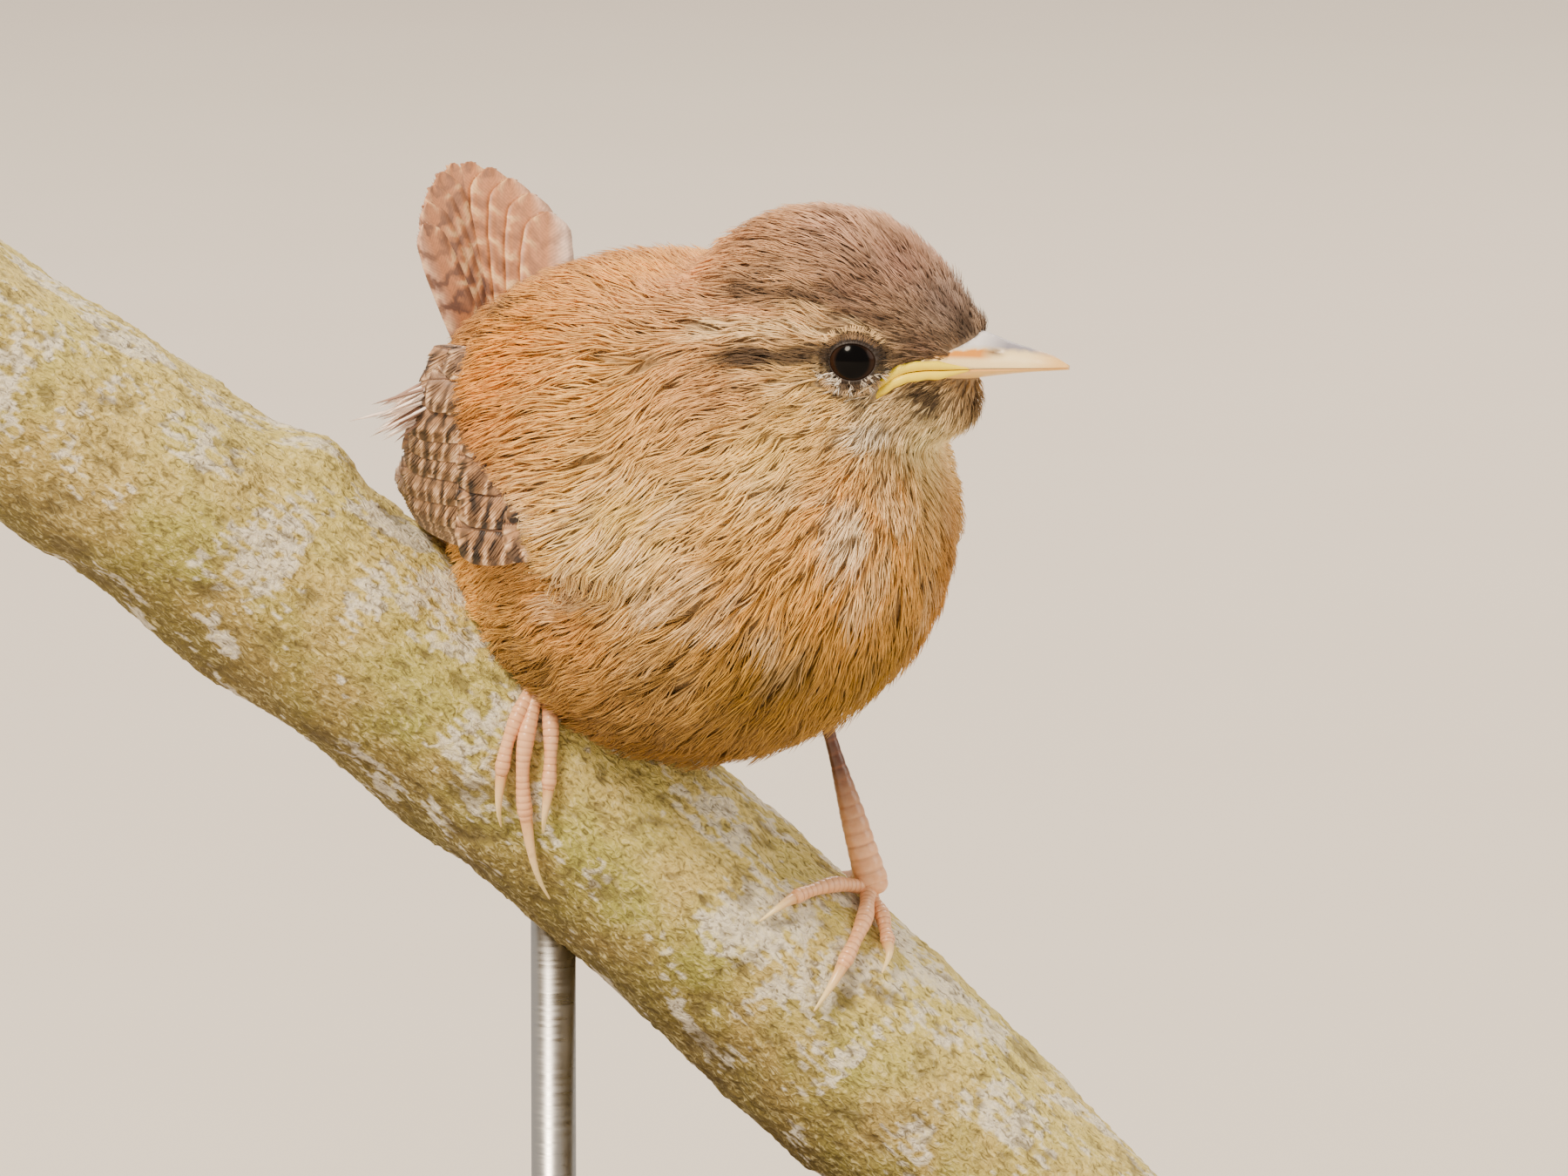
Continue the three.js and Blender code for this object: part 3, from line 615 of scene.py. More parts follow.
def plumage_colour(points):
    """The tracts' colours, with the markings laid over them one after the other."""
    colour = tract_colour(points)
    fine = ripple(points, 0.9, 3)
    coarse = ripple(points, 3.2, 4)
    tracts = (crown_marks(points, fine, coarse), eye_marks(points), cheek_marks(points, fine),
              body_marks(points, fine))
    for marks in tracts:
        for hexcode, share in marks:
            colour = mix(colour, np.array(linear(hexcode)[:3]), np.clip(share, 0, 1)[..., None])
    return colour


# The coat
SKIN_DETAIL = 7
COAT_SEED = 11
BARB_STEPS = 5
FACE_STEPS = 4
FACE_LENGTH = 2.3  # shorter feathers than this have barbs with fewer steps
# Degrees: the fan of a feather's barbs to each side, and how far feathers and barbs stray
BARB_FAN, FEATHER_STRAY, BARB_STRAY = 21, 7, 5
# Shares of a barb along its length, and of its width there
BARB_AT, BARB_WIDTH = (0, 0.35, 1), (0.8, 1, 0.35)
BARBS_EACH = (3.8, 2.3)  # on the shortest feather, and more for each millimetre of length
PATCH = 0.003  # across one tuft on the bake's map
DOWN = "#75614f"
COAT_LIMIT = 190000  # triangles in one piece


def skin_shape():
    """The bird's skin, inside the coat's outer form by the coat's depth."""
    ways, triangles = round_ball(SKIN_DETAIL)
    ways = unit(ways + SKIN_CROWD)

    def inside(points):
        return coat(points) + coat_depth(points)

    far = reach(inside, SKIN_MIDDLE, ways, 0, SKIN_MOST)
    points = SKIN_MIDDLE + ways * far[:, None]
    colour = mix(plumage_colour(points) * 0.68, np.array(linear(DOWN)[:3]), 0.35)
    colour = np.concatenate([colour, np.ones((len(colour), 1))], axis=1)
    return points, outward(points, triangles), {"marking": colour}


def feather_spacing(points):
    """From one feather's root to the next."""
    return 0.18 + 0.185 * feather_length(points)


def feather_roots(skin, draw):
    """Places on the skin for the feathers, spaced more closely where they are short."""
    a, b, c = (skin[0][skin[1][:, i]] for i in range(3))
    middle = (a + b + c) / 3
    spacing = feather_spacing(middle)
    area = np.linalg.norm(np.cross(b - a, c - a), axis=1) / 2
    share = area / spacing**2
    count = int(9 * share.sum())
    pick = draw.choice(len(area), size=count, p=share / share.sum())
    u, v = np.sqrt(draw.uniform(size=count)), draw.uniform(size=count)
    points = a[pick] * (1 - u)[:, None] + b[pick] * (u * (1 - v))[:, None] + c[pick] * (u * v)[:, None]
    spacing = spacing[pick]
    tree = kdtree.KDTree(count)
    for i, p in enumerate(points):
        tree.insert(p, i)
    tree.balance()
    free = np.ones(count, bool)
    kept = []
    for i in range(count):
        if free[i]:
            kept.append(i)
            for _, j, _ in tree.find_range(points[i], spacing[i]):
                free[j] = False
    return points[kept]


def grow(roots, length, turn, levels, steps):
    """Paths along the lie from each root, turned from it by an angle, at heights over the coat's form."""
    step = (length / (steps - 1))[:, None]
    p = roots
    paths, facing = [], []
    for k in range(steps):
        n, level = slope(coat, p)
        p = p + n * (levels[:, k] - level)[:, None]
        paths.append(p)
        facing.append(n)
        way = lie(p, n)
        angle = (turn * (1 - 0.85 * k / (steps - 1)))[:, None]
        p = p + (way * np.cos(angle) + np.cross(n, way) * np.sin(angle)) * step
    return np.stack(paths, axis=1), np.stack(facing, axis=1)


def clear_of_face(paths):
    """False for barbs that would cross an eye, the bill or the soft edges of the gape."""
    q = head_place(paths)
    clear = np.ones(len(paths), bool)
    for side, (middle, way) in EYES.items():
        away = q - middle
        across, up = lid_axes(way)
        beside, above = away @ across, away @ up
        opening = np.hypot(beside / (OPENING[0] + 0.2), above / (OPENING[1] + 0.16))
        clear &= ~((opening < 1) & (away @ way > 0)).any(axis=1)
        edge = FLANGE[:, :3] * (1, side, 1)
        for start, end, radius in zip(edge[:-1], edge[1:], FLANGE[:, 3]):
            along = end - start
            t = np.clip((q - start) @ along / (along @ along), 0, 1)
            gap = np.linalg.norm((q - start - t[..., None] * along) * (1, 1, 0.62), axis=-1)
            clear &= (gap > radius + 0.2).all(axis=1)
    half, top, mouth, under = (np.interp(q[..., 0], BILL[:, 0], values) for values in BILL[:, 1:].T)
    level = np.where(q[..., 2] > mouth, top - mouth, mouth - under) + 0.12
    in_bill = (np.abs(q[..., 1]) / (half + 0.1)) ** 2 + ((q[..., 2] - mouth) / level) ** 2 < 1
    return clear & ~(in_bill & (q[..., 0] > 9.6)).any(axis=1)


def branch_line(along):
    """The middle of the branch, and the way across it that is up, at a distance along it."""
    tilt = BRANCH_TILT + BRANCH_BEND * along
    x = BRANCH["x"] + (np.sin(tilt) - math.sin(BRANCH_TILT)) / BRANCH_BEND
    z = BRANCH["z"] + (np.cos(tilt) - math.cos(BRANCH_TILT)) / BRANCH_BEND
    zero = np.zeros_like(x)
    return np.stack([x, zero, z], -1), np.stack([np.sin(tilt), zero, np.cos(tilt)], -1)


def branch_radius(along, angle):
    """From the branch's middle to its bark, with a swell and the knob."""
    taper = mix(*BRANCH["radius"], along / BRANCH["length"])
    a = np.radians(angle)
    swell = (0.22 * np.sin(2 * a + along * 0.11) + 0.16 * np.sin(3 * a - along * 0.23 + 1)
             + 0.12 * np.sin(5 * a + along * 0.37 + 2))
    off_angle = np.radians((angle - KNOB["angle"] + 180) % 360 - 180) * taper
    off = np.hypot(along - KNOB["along"], off_angle) / KNOB["size"]
    return taper + swell + KNOB["height"] * np.exp(-off * off)


def on_branch(along, angle, height):
    """Points of the row's frame on the branch: 0 degrees faces -Y and 90 is its top."""
    middle, up = branch_line(along)
    a = np.radians(angle)[..., None]
    out = up * np.sin(a) + np.array([0, -1, 0]) * np.cos(a)
    return middle + out * (branch_radius(along, angle) + height)[..., None]


def off_branch(points, gap):
    """Points of the row's frame, moved out of the branch to a gap from it."""
    away = points - BEND_CENTRE
    tilt = np.arctan2(away[..., 0], away[..., 2])
    along = (tilt - BRANCH_TILT) / BRANCH_BEND
    middle, up = branch_line(along)
    off = points - middle
    rise = np.sum(off * up, axis=-1)
    angle = np.degrees(np.arctan2(rise, -off[..., 1]))
    far = np.hypot(rise, off[..., 1])
    least = branch_radius(along, angle) + gap
    push = np.where(far < least, least / np.maximum(far, 1e-6), 1)[..., None]
    return middle + off * push


def bake_patch(roots, share, along):
    """A place on the unwrap of the skin for each root, with a small patch for its tuft."""
    way = unit(roots - SKIN_MIDDLE)
    u = 0.5 + np.arctan2(way[:, 1], way[:, 2]) / (2 * np.pi) * 0.98
    v = 0.01 + 0.98 * np.arccos(np.clip(way[:, 0], -1, 1)) / np.pi
    across = np.broadcast_to(share[:, None] - 0.5, along.shape)
    return np.stack([u[:, None] + PATCH * across, v[:, None] + PATCH * (along - 0.5)], -1)


def coat_regions(roots):
    """The names of the coat's regions, with the feathers that each one holds."""
    q = head_place(roots)
    x, y, z = roots.T
    on_head = np.linalg.norm(q - np.array([0.5, 0, 0]), axis=1) < 12
    tests = {
        "crown": on_head & (q[:, 2] > 1.6),
        "face_left": on_head & (q[:, 1] > 0),
        "face_right": on_head,
        "rump": x < -12,
        "mantle": z > 8.5,
        "breast": (x > 10) & (z > -8),
        "belly": z < -8,
        "flank_left": y > 0,
        "flank_right": y <= 0,
    }
    free = np.ones(len(roots), bool)
    for name, test in tests.items():
        yield name, np.flatnonzero(test & free)
        free &= ~test


def barb_steps(length):
    """How many points a barb has: fewer on the face."""
    return FACE_STEPS if np.median(length) < FACE_LENGTH else BARB_STEPS


def barbs_of(roots, draw):
    """The barbs of some feathers: a shape, and the place of each point on the bake's map."""
    length = feather_length(roots)
    steps = barb_steps(length)
    normals, _ = slope(coat, roots)
    counts = np.round(BARBS_EACH[0] + BARBS_EACH[1] * length).astype(int)
    feather = np.repeat(np.arange(len(roots)), counts)
    order = np.concatenate([np.arange(c) for c in counts])
    share = (order + 0.5) / counts[feather]
    side = 2 * share - 1
    count = len(feather)

    own = {key: draw.normal(size=len(roots)) for key in ("turn", "lift", "tone", "length")}
    long = length[feather] * (1 + 0.09 * own["length"][feather])
    jitter = draw.normal(size=(3, count))
    barb = long * (1 - 0.3 * side**2) * (1 + 0.12 * jitter[0])
    turn = np.radians(BARB_FAN * side + FEATHER_STRAY * own["turn"][feather] + BARB_STRAY * jitter[1])
    t = np.linspace(0, 1, steps)
    depth = coat_depth(roots)[feather]
    rough = 1 - ease(7, 15, np.linalg.norm(roots - BILL_ROOT, axis=1))[feather]  # round the bill
    tip = long * (0.02 + 0.045 * own["lift"][feather] + 0.025 * jitter[2] - 0.05 * side**2)
    tip += rough * long * (0.1 + 0.1 * own["lift"][feather])
    levels = -1.02 * depth[:, None] * (1 - t) ** 1.5 + tip[:, None] * t
    start = roots[feather] + lie(roots, normals)[feather] * (0.3 * long * (1 - np.abs(side)))[:, None]
    paths, facing = grow(start, barb, turn, levels, steps)

    keep = clear_of_face(paths)
    whole = (paths, facing, feather, barb, share)
    paths, facing, feather, barb, share = (values[keep] for values in whole)
    width = (0.072 + 0.02 * barb)[:, None] * np.interp(t, BARB_AT, BARB_WIDTH)
    rows = into(BODY_FRAME, paths)
    paths = into(np.linalg.inv(BODY_FRAME), off_branch(rows, 0.12))
    tones = draw.uniform(size=len(barb)), own["tone"][feather]
    colour = plumage_colour(paths[:, 1 + steps // 3])
    return barb_shape(paths, facing, width, colour, tones, roots[feather], share)


def barb_shape(paths, facing, widths, colour, tones, roots, share):
    """Barbs on some paths, each with one colour, and the place of each point on the bake's map."""
    points, triangles, step_of = strands(paths, facing, widths, 0.45 * widths)
    per = len(step_of)
    along = np.linspace(0, 1, paths.shape[1])[step_of]
    barb = np.stack([
        np.tile(along, len(paths)),
        np.repeat(tones[0], per),
        np.repeat(tones[1], per),
    ], axis=1)
    colour = np.repeat(np.concatenate([colour, np.ones((len(colour), 1))], axis=1), per, axis=0)
    patch = bake_patch(roots, share, np.tile(along, (len(paths), 1)))
    return (points, triangles, {"marking": colour, "barb": barb}), patch.reshape(-1, 2)


def make_coat(skin, finish):
    """All the coat's pieces, region after region."""
    draw = np.random.default_rng(COAT_SEED)
    roots = feather_roots(skin, draw)
    for name, members in coat_regions(roots):
        chosen = roots[members]
        length = feather_length(chosen)
        faces_each = 6 * barb_steps(length) - 8
        total = (BARBS_EACH[0] + BARBS_EACH[1] * length).sum() * faces_each
        lots = math.ceil(total / COAT_LIMIT)
        order = np.argsort(chosen[:, 0])
        for k, lot in enumerate(np.array_split(order, lots)):
            shape, patch = barbs_of(chosen[lot], draw)
            label = f"coat_{name}" if lots == 1 else f"coat_{name}_{k + 1}"
            piece(label, shape, finish, matrix=BODY_FRAME, patch=patch)


# Rows of short feathers round the lids: from a lid's edge, their length, their colours above and below it,
# and how bright they are beside it
LID_ROWS = (
    (0.06, 0.36, "#2b2019", "#3a2d23", 0.3),
    (0.3, 0.6, "#8a6c4c", "#725e4b", 0.6),
    (0.76, 0.75, "#ecc68c", "#c3a27a", 0.9),
)
LID_FEATHERS = 60
LID_WHITE = "#efe3d2"
LID_FAN = (-0.35, 0, 0.35)


def lid_feathers(side):
    """Short feathers that ray out from the lids, with a pale line above them and white flecks below."""
    draw = np.random.default_rng(37)
    middle, way = EYES[side]
    across, up = lid_axes(way)
    t = np.linspace(0, 1, FACE_STEPS)
    paths, colours = [], []
    for beyond, length, above, below, beside_light in LID_ROWS:
        turn = np.linspace(0, 2 * np.pi, LID_FEATHERS, endpoint=False)
        turn = turn + draw.normal(size=LID_FEATHERS) * 0.04
        from_middle = (opening_radius(turn) + beyond)[:, None]
        rim = middle + from_middle * (np.cos(turn)[:, None] * across + np.sin(turn)[:, None] * up)
        colour = plumage_colour(into(HEAD_IN_BODY, rim + 0.8 * way)) * beside_light
        colour[np.sin(turn) > 0.5] = linear(above)[:3]
        colour[np.sin(turn) < -0.4] = linear(below)[:3]
        colour = colour * draw.uniform(0.55, 1.2, size=(LID_FEATHERS, 1))
        colour[(np.sin(turn) < -0.45) & (draw.uniform(size=LID_FEATHERS) < 0.36)] = linear(LID_WHITE)[:3]
        for fan in LID_FAN:
            aim = (turn + fan + 0.1 * draw.normal(size=LID_FEATHERS))[:, None]
            beside = from_middle * np.cos(turn)[:, None] + length * t * np.cos(aim)
            above_middle = from_middle * np.sin(turn)[:, None] + length * t * np.sin(aim)
            paths.append(beside[..., None] * across + above_middle[..., None] * up)
            colours.append(colour)
    flat = np.concatenate(paths)
    start = into(HEAD_IN_BODY, middle + flat)
    ahead = np.broadcast_to(HEAD_IN_BODY[:3, :3] @ way, start.shape)
    far = reach(coat, start, ahead, 0, 6) + mix(-0.05, 0.13, t)
    ball = np.sqrt(np.maximum(EYE["radius"] ** 2 - np.sum(flat**2, -1), 0)) + 0.13
    paths = start + ahead * np.maximum(far, ball)[..., None]
    facing, _ = slope(coat, paths)
    count = len(paths)
    widths = np.full((count, 1), 0.085) * np.interp(t, [0, 0.35, 1], [0.9, 1, 0.4])
    tones = draw.uniform(size=count), 0.6 * draw.normal(size=count)
    share = np.tile(np.repeat(np.array(LID_FAN) + 0.5, LID_FEATHERS), len(LID_ROWS))
    return barb_shape(paths, facing, widths, np.concatenate(colours), tones, paths[:, 0], share)


# Loose feathers behind the right shoulder: their root and way in the body's frame
TUFT = {"root": (-12.6, -15, 11.4), "way": (-0.5, -0.75, -0.35), "count": 44, "length": 6}
TUFT_COLOURS = ("#fde9da", "#a08070")


def loose_tuft():
    """Long loose feathers that stick out behind the shoulder."""
    draw = np.random.default_rng(41)
    count = TUFT["count"]
    root = np.array(TUFT["root"]) + draw.normal(size=(count, 3)) * (0.6, 0.6, 1.3)
    normal, level = slope(coat, root)
    root = root - normal * (level + 0.2)[:, None]
    way = unit(unit(np.array(TUFT["way"])) + 0.1 * draw.normal(size=(count, 3)))
    length = TUFT["length"] * (1 + 0.15 * draw.normal(size=(count, 1)))
    t = np.linspace(0, 1, BARB_STEPS)
    sag = np.array([0, 0, -0.25]) * (t * t)[None, :, None]
    paths = root[:, None] + way[:, None] * (length * t)[..., None] + sag
    facing = np.broadcast_to(normal[:, None], paths.shape)
    pale = (draw.uniform(size=count) < 0.8)[:, None]
    colour = np.where(pale, linear(TUFT_COLOURS[0])[:3], linear(TUFT_COLOURS[1])[:3])
    widths = np.full((count, 1), 0.5) * np.interp(t, [0, 0.7, 1], [1, 0.9, 0.3])
    tones = draw.uniform(size=count), 0.6 * draw.normal(size=count)
    return barb_shape(paths, facing, widths, colour, tones, root, draw.uniform(size=count))


# Flight feathers
VANE = 0.14  # how thick a vane is under its barbs
VANE_GRID = (20, 7)  # points along it and across it
SHAFT_STEPS, SHAFT_SIDES, SHAFT_RADII = 14, 6, (0.2, 0.06)
WEB_STEPS = 4  # of each barb across the web
BARB_SPACING = 0.3
# A vane's width along its length
VANE_AT = (0, 0.3, 0.62, 0.84, 0.95, 1)
VANE_WIDTH = (0.45, 0.85, 1, 0.93, 0.66, 0.1)

# Tiers of the folded wing: the feathers, the first and last root and tip as x and degrees down the side,
# the width, the first and last height, and how plain they are
WING_TIERS = {
    "primaries": (7, [(3, 94), (2, 86)], [(-17.6, 90), (-20.2, 79)], 4.2, (0.65, 0.85), 0.8),
    "secondaries": (7, [(2, 86), (0, 54)], [(-17, 83), (-14, 46)], 5.8, (1.05, 1.5), 0.1),
    "tertials": (3, [(0, 56), (-1, 44)], [(-12.5, 56), (-9.5, 36)], 5.4, (1.75, 2), 0.45),
    "greater_coverts": (7, [(6, 92), (3, 46)], [(-5, 91), (-5, 42)], 5.5, (1.7, 2.2), 0),
    "median_coverts": (6, [(8, 90), (6, 50)], [(1.5, 90), (1.5, 48)], 5.6, (2.2, 2.4), 0),
}
# The wing lies on the trunk with a bed behind it, laid out round an axis at a height: mm down the side
# are turned into degrees at this radius, and the bed is looked for from so far out
WING_BED = np.concatenate([TRUNK_FORMS, [[-13, 0, 3, 17, 11.5, 11.5]]])
BED_AXIS_Z, BED_RADIUS, BED_MOST = 1, 18, 30
WING_LIFT, WING_TILT = 0.3, 0.3  # how far a vane rises to its tip, and from edge to middle

# The tail: its root, degrees of lean and of spread to each side, how much shorter and lower the outer
# vanes are, and how far they cup and tilt
TAIL = {
    "x": -20.2, "y": -0.9, "z": 8, "lean": 15, "length": 20, "feathers": 10, "spread": 15, "width": 4.6,
    "root_spacing": 2.4, "graded": 0.2, "crown": 1, "fall": 1.7, "cup": 0.0105, "tilt": 0.3,
}
TAIL_FRAME = BODY_FRAME @ frame_at(TAIL["x"], TAIL["y"], TAIL["z"], 0, -90 - TAIL["lean"])


def through(at, values, x):
    """A smooth curve through named values."""
    at, values = np.asarray(at, float), np.asarray(values, float)
    slopes = np.gradient(values, at, axis=0)
    x = np.clip(x, at[0], at[-1])
    i = np.clip(np.searchsorted(at, x) - 1, 0, len(at) - 2)
    span = at[i + 1] - at[i]
    t = (x - at[i]) / span
    if values.ndim > 1:
        t, span = t[..., None], span[..., None]
    return ((2 * t**3 - 3 * t**2 + 1) * values[i] + (t**3 - 2 * t**2 + t) * span * slopes[i]
            + (3 * t**2 - 2 * t**3) * values[i + 1] + (t**3 - t**2) * span * slopes[i + 1])


def closed_sheet(top, under):
    """A solid between two grids of points, split into the same triangles on both."""
    rows, columns = top.shape[:2]
    grid = np.arange(rows * columns).reshape(rows, columns)
    a, b, c, d = (g.ravel() for g in (grid[:-1, :-1], grid[:-1, 1:], grid[1:, 1:], grid[1:, :-1]))
    face = np.concatenate([np.stack([a, b, c], 1), np.stack([a, c, d], 1)])
    rim = np.concatenate([grid[0, :-1], grid[:-1, -1], grid[-1, :0:-1], grid[:0:-1, 0]])
    following = np.roll(rim, -1)
    below = rows * columns
    edge = np.concatenate([
        np.stack([following, rim, rim + below], 1),
        np.stack([following, rim + below, following + below], 1),
    ])
    points = np.concatenate([top.reshape(-1, 3), under.reshape(-1, 3)])
    return points, outward(points, np.concatenate([face, face[:, ::-1] + below, edge]))


def flight_feather(place, length, width, draw, plain, outer=0):
    """A vane with its shaft and barbs. The function place turns mm along and across into points.

    A plain one has faint bars, and the outer web of an outer one is pale.
    """
    own = draw.uniform()

    def half_width(t):
        return through(VANE_AT, VANE_WIDTH, t) * width / 2

    def looks(along, edge, shaft):
        pale = ease(0, 0.8, edge * np.sign(outer)) * outer**2 * (1 if outer > 0 else 0.35)
        kind = np.full(along.shape, plain), pale, np.full(along.shape, shaft)
        vane = np.stack([along, edge, np.full(along.shape, own)], -1)
        return {"vane": vane.reshape(-1, 3), "web": np.stack(kind, -1).reshape(-1, 3)}

    rows, columns = VANE_GRID
    t, e = np.meshgrid(1 - np.linspace(1, 0, rows) ** 1.6, np.linspace(-1, 1, columns), indexing="ij")
    across = 0.97 * e * half_width(t)
    points, normals = place(0.985 * length * t, across)
    crease = (0.1 * (1 - np.abs(e)) ** 2)[..., None]
    sheet = closed_sheet(points + normals * (VANE / 2 + crease), points - normals * (VANE / 2 - crease))
    parts = [(*sheet, looks(np.stack([length * t] * 2), np.stack([e] * 2), 0))]

    along = np.linspace(0, 0.97, SHAFT_STEPS)
    centre, up = place(length * along, np.zeros_like(along))
    shaft = tube(centre + up * 0.16, mix(*SHAFT_RADII, along), SHAFT_SIDES)
    at = length * np.append(np.repeat(along, SHAFT_SIDES), along[[0, -1]])
    parts.append((*shaft, looks(at, np.zeros_like(at), 1)))

    count = int(length / BARB_SPACING)
    start = np.tile(np.linspace(0.03, 0.97, count), 2) + draw.normal(size=2 * count) * 0.003
    side = np.repeat([1, -1], count)
    start = np.clip(start, 0.02, 0.975)
    finish_at = np.clip(start + 0.95 * half_width(start) / length, 0, 0.98)
    step = np.linspace(0.03, 1, WEB_STEPS)
    at = start[:, None] + (finish_at - start)[:, None] * step
    wide = half_width(finish_at)[:, None] * (0.95 + 0.02 * draw.normal(size=(2 * count, 1)))
    across = side[:, None] * wide * step**0.92
    paths, normals = place(length * at, across)
    lift = (0.11 + 0.05 * draw.uniform(size=(2 * count, 1)))[..., None]
    widths = np.full(at.shape, 0.34) * np.linspace(1, 0.55, WEB_STEPS)
    points, triangles, step_of = strands(paths + normals * lift, normals, widths, widths * 0.24)
    edge = (side[:, None] * step)[:, step_of]
    parts.append((points, triangles, looks(length * at[:, step_of], edge, 0)))
    return join(parts)


def wing_bed(points):
    """The form that the folded wing lies on."""
    return form_distance(WING_BED, points, BLEND_TRUNK)


def wing_shape(side):
    """A folded wing, with its tiers of vanes laid over one another."""
    draw = np.random.default_rng(23 if side > 0 else 29)
    parts = []
    for count, roots, tips, width, heights, plain in WING_TIERS.values():
        for share in np.linspace(0, 1, count):
            root = mix(np.array(roots[0], float), np.array(roots[1], float), share)
            tip = mix(np.array(tips[0], float), np.array(tips[1], float), share)
            tip = tip + draw.normal(size=2) * (0.35, 0.8)
            ahead, down = tip[0] - root[0], math.radians(tip[1] - root[1]) * BED_RADIUS
            length = math.hypot(ahead, down)
            height = mix(*heights, share)

            def place(along, across):
                x = root[0] + (ahead * along - down * across) / length
                angle = math.radians(root[1]) + (down * along + ahead * across) / length / BED_RADIUS
                way = np.stack([np.zeros_like(x), side * np.sin(angle), np.cos(angle)], -1)
                start = np.stack([x, np.zeros_like(x), np.full_like(x, BED_AXIS_Z)], -1)
                foot = start + way * reach(wing_bed, start, way, 0, BED_MOST)[..., None]
                normal, _ = slope(wing_bed, foot)
                lift = height + WING_LIFT * along / length - WING_TILT * 2 * across / width
                return foot + normal * lift[..., None], normal

            parts.append(flight_feather(place, length, width, draw, plain))
    points, triangles, extra = join(parts)
    points = off_branch(into(BODY_FRAME, tucked(points)), 0.15)
    return points, triangles, extra


def tucked(points):
    """Points of the wing, pressed under the skin where the shoulder's feathers cover them."""
    normal, level = slope(coat, points)
    over = np.maximum(level + coat_depth(points) + 0.25, 0)
    hidden = np.maximum(ease(0.55, 0.95, shoulder_cover(points)), ease(13.5, 15.5, points[..., 2]))
    return points - normal * (over * hidden)[:, None]


def tail_shape():
    """The short cocked tail, a low roof of vanes."""
    draw = np.random.default_rng(31)
    parts = []
    for i in range(TAIL["feathers"]):
        share = 2 * i / (TAIL["feathers"] - 1) - 1
        turn = math.radians(share * TAIL["spread"])
        length = TAIL["length"] * (1 - TAIL["graded"] * abs(share) ** 1.6)
        layer = TAIL["crown"] - TAIL["fall"] * abs(share)

        def place(along, across):
            beside = across + share * TAIL["root_spacing"]
            x = along * math.cos(turn) - beside * math.sin(turn)
            y = along * math.sin(turn) + beside * math.cos(turn)
            tilt = TAIL["tilt"] * (2 * across / TAIL["width"]) * np.sign(share)
            z = layer - TAIL["cup"] * y * y - tilt
            up = np.zeros(x.shape + (3,))
            up[..., 2] = 1
            return np.stack([x, y, z], -1), up

        # Bars stay strong on the tail's right half, the shaded side, and fade across its left half: the
        # difference is partly painted shade
        plain = 0.15 + 0.65 * max(share, 0)
        parts.append(flight_feather(place, length, TAIL["width"], draw, plain, share))
    return join(parts)


# Bill
BILL_RINGS, BILL_SIDES = 56, 25


def bill_shape(upper):
    """One half of the bill, as rings from the gape to the tip, with the nostrils pressed in."""
    way = 1 if upper else -1
    x = mix(BILL[0, 0], BILL[-1, 0], np.linspace(0, 1, BILL_RINGS) ** 0.85)
    half, ridge, mouth, keel = through(BILL[:, 0], BILL[:, 1:], x).T
    turn = np.linspace(0, np.pi, BILL_SIDES)
    edge = mouth + way * MOUTH_LINE
    depth = np.maximum(0.1, way * ((ridge if upper else keel) - edge))
    rise = np.sin(turn) ** (1.15 if upper else 0.95)
    y = half[:, None] * np.cos(turn)
    z = edge[:, None] + way * depth[:, None] * rise
    if upper:
        z += (0.1 * half * np.exp(-((np.abs(turn[:, None] - np.pi / 2)) / 0.3) ** 2)).T
    along = np.repeat(x[:, None], BILL_SIDES, 1)
    points = np.stack([along, y, z], -1)
    pit = np.zeros(y.shape)
    if upper:
        nostril = np.array(NOSTRIL) * np.where(points[..., 1:2] > 0, 1, (1, -1, 1))
        off = (points - nostril) / NOSTRIL_SIZE
        pit = np.exp(-np.sum(off**2, -1))
        points[..., 1] -= np.sign(points[..., 1]) * 0.34 * pit
    shape = closed_tube(points)
    values = np.stack([along, np.repeat(rise[None], BILL_RINGS, 0), pit], -1).reshape(-1, 3)
    values = np.concatenate([values, values[:1], values[-1:]])
    return *shape, {"horn": values}


def gape_shape(side):
    """The soft swollen edges of a young bird's gape, above and below the line of the mouth."""
    parts = []
    at = np.linspace(0, 1, len(FLANGE))
    t = np.linspace(0, 1, 46)
    route = through(at, FLANGE, t)
    radii = route[:, 3] * (1 + 0.04 * np.sin(t * 37)) * mix(1, 0.35, ease(0.72, 1, t))
    radii *= np.sqrt(np.clip(30 * t, 0.1, 1) * np.clip(30 * (1 - t), 0.1, 1))
    for way in (1, -1):
        path = route[:, :3] * (1, side, 1)
        path[:, 2] += way * (radii + MOUTH_LINE)
        parts.append((*tube(path, radii, 14), {}))
    return join(parts)


# Eyes
OPENING = (1.77, 1.5)  # half the width and half the height between the lids
EYE_DETAIL = 5
LID_BEADS = 46
# Across the lids: mm out from the edge of the opening, and mm over the eyeball
LID_PROFILE = ((0, -0.06), (0.02, 0.1), (0.1, 0.17), (0.22, 0.14), (0.32, 0.1), (0.5, 0.16), (0.66, 0.08),
               (0.9, -0.1), (1.1, -0.5), (0.3, -0.45))
BEADED = (4, 5, 6)  # the points of the profile that rise and fall with the beads


def lid_axes(way):
    """The ways across and up the eye's opening."""
    across = unit(np.cross(way, (0, 0, 1)))
    return across, np.cross(across, way)


def opening_radius(turn):
    """From the middle of the opening to a lid's edge. The upper lid is flatter than the lower one."""
    height = OPENING[1] * np.where(np.sin(turn) > 0, 0.93, 1)
    return 1 / np.sqrt((np.cos(turn) / OPENING[0]) ** 2 + (np.sin(turn) / height) ** 2)


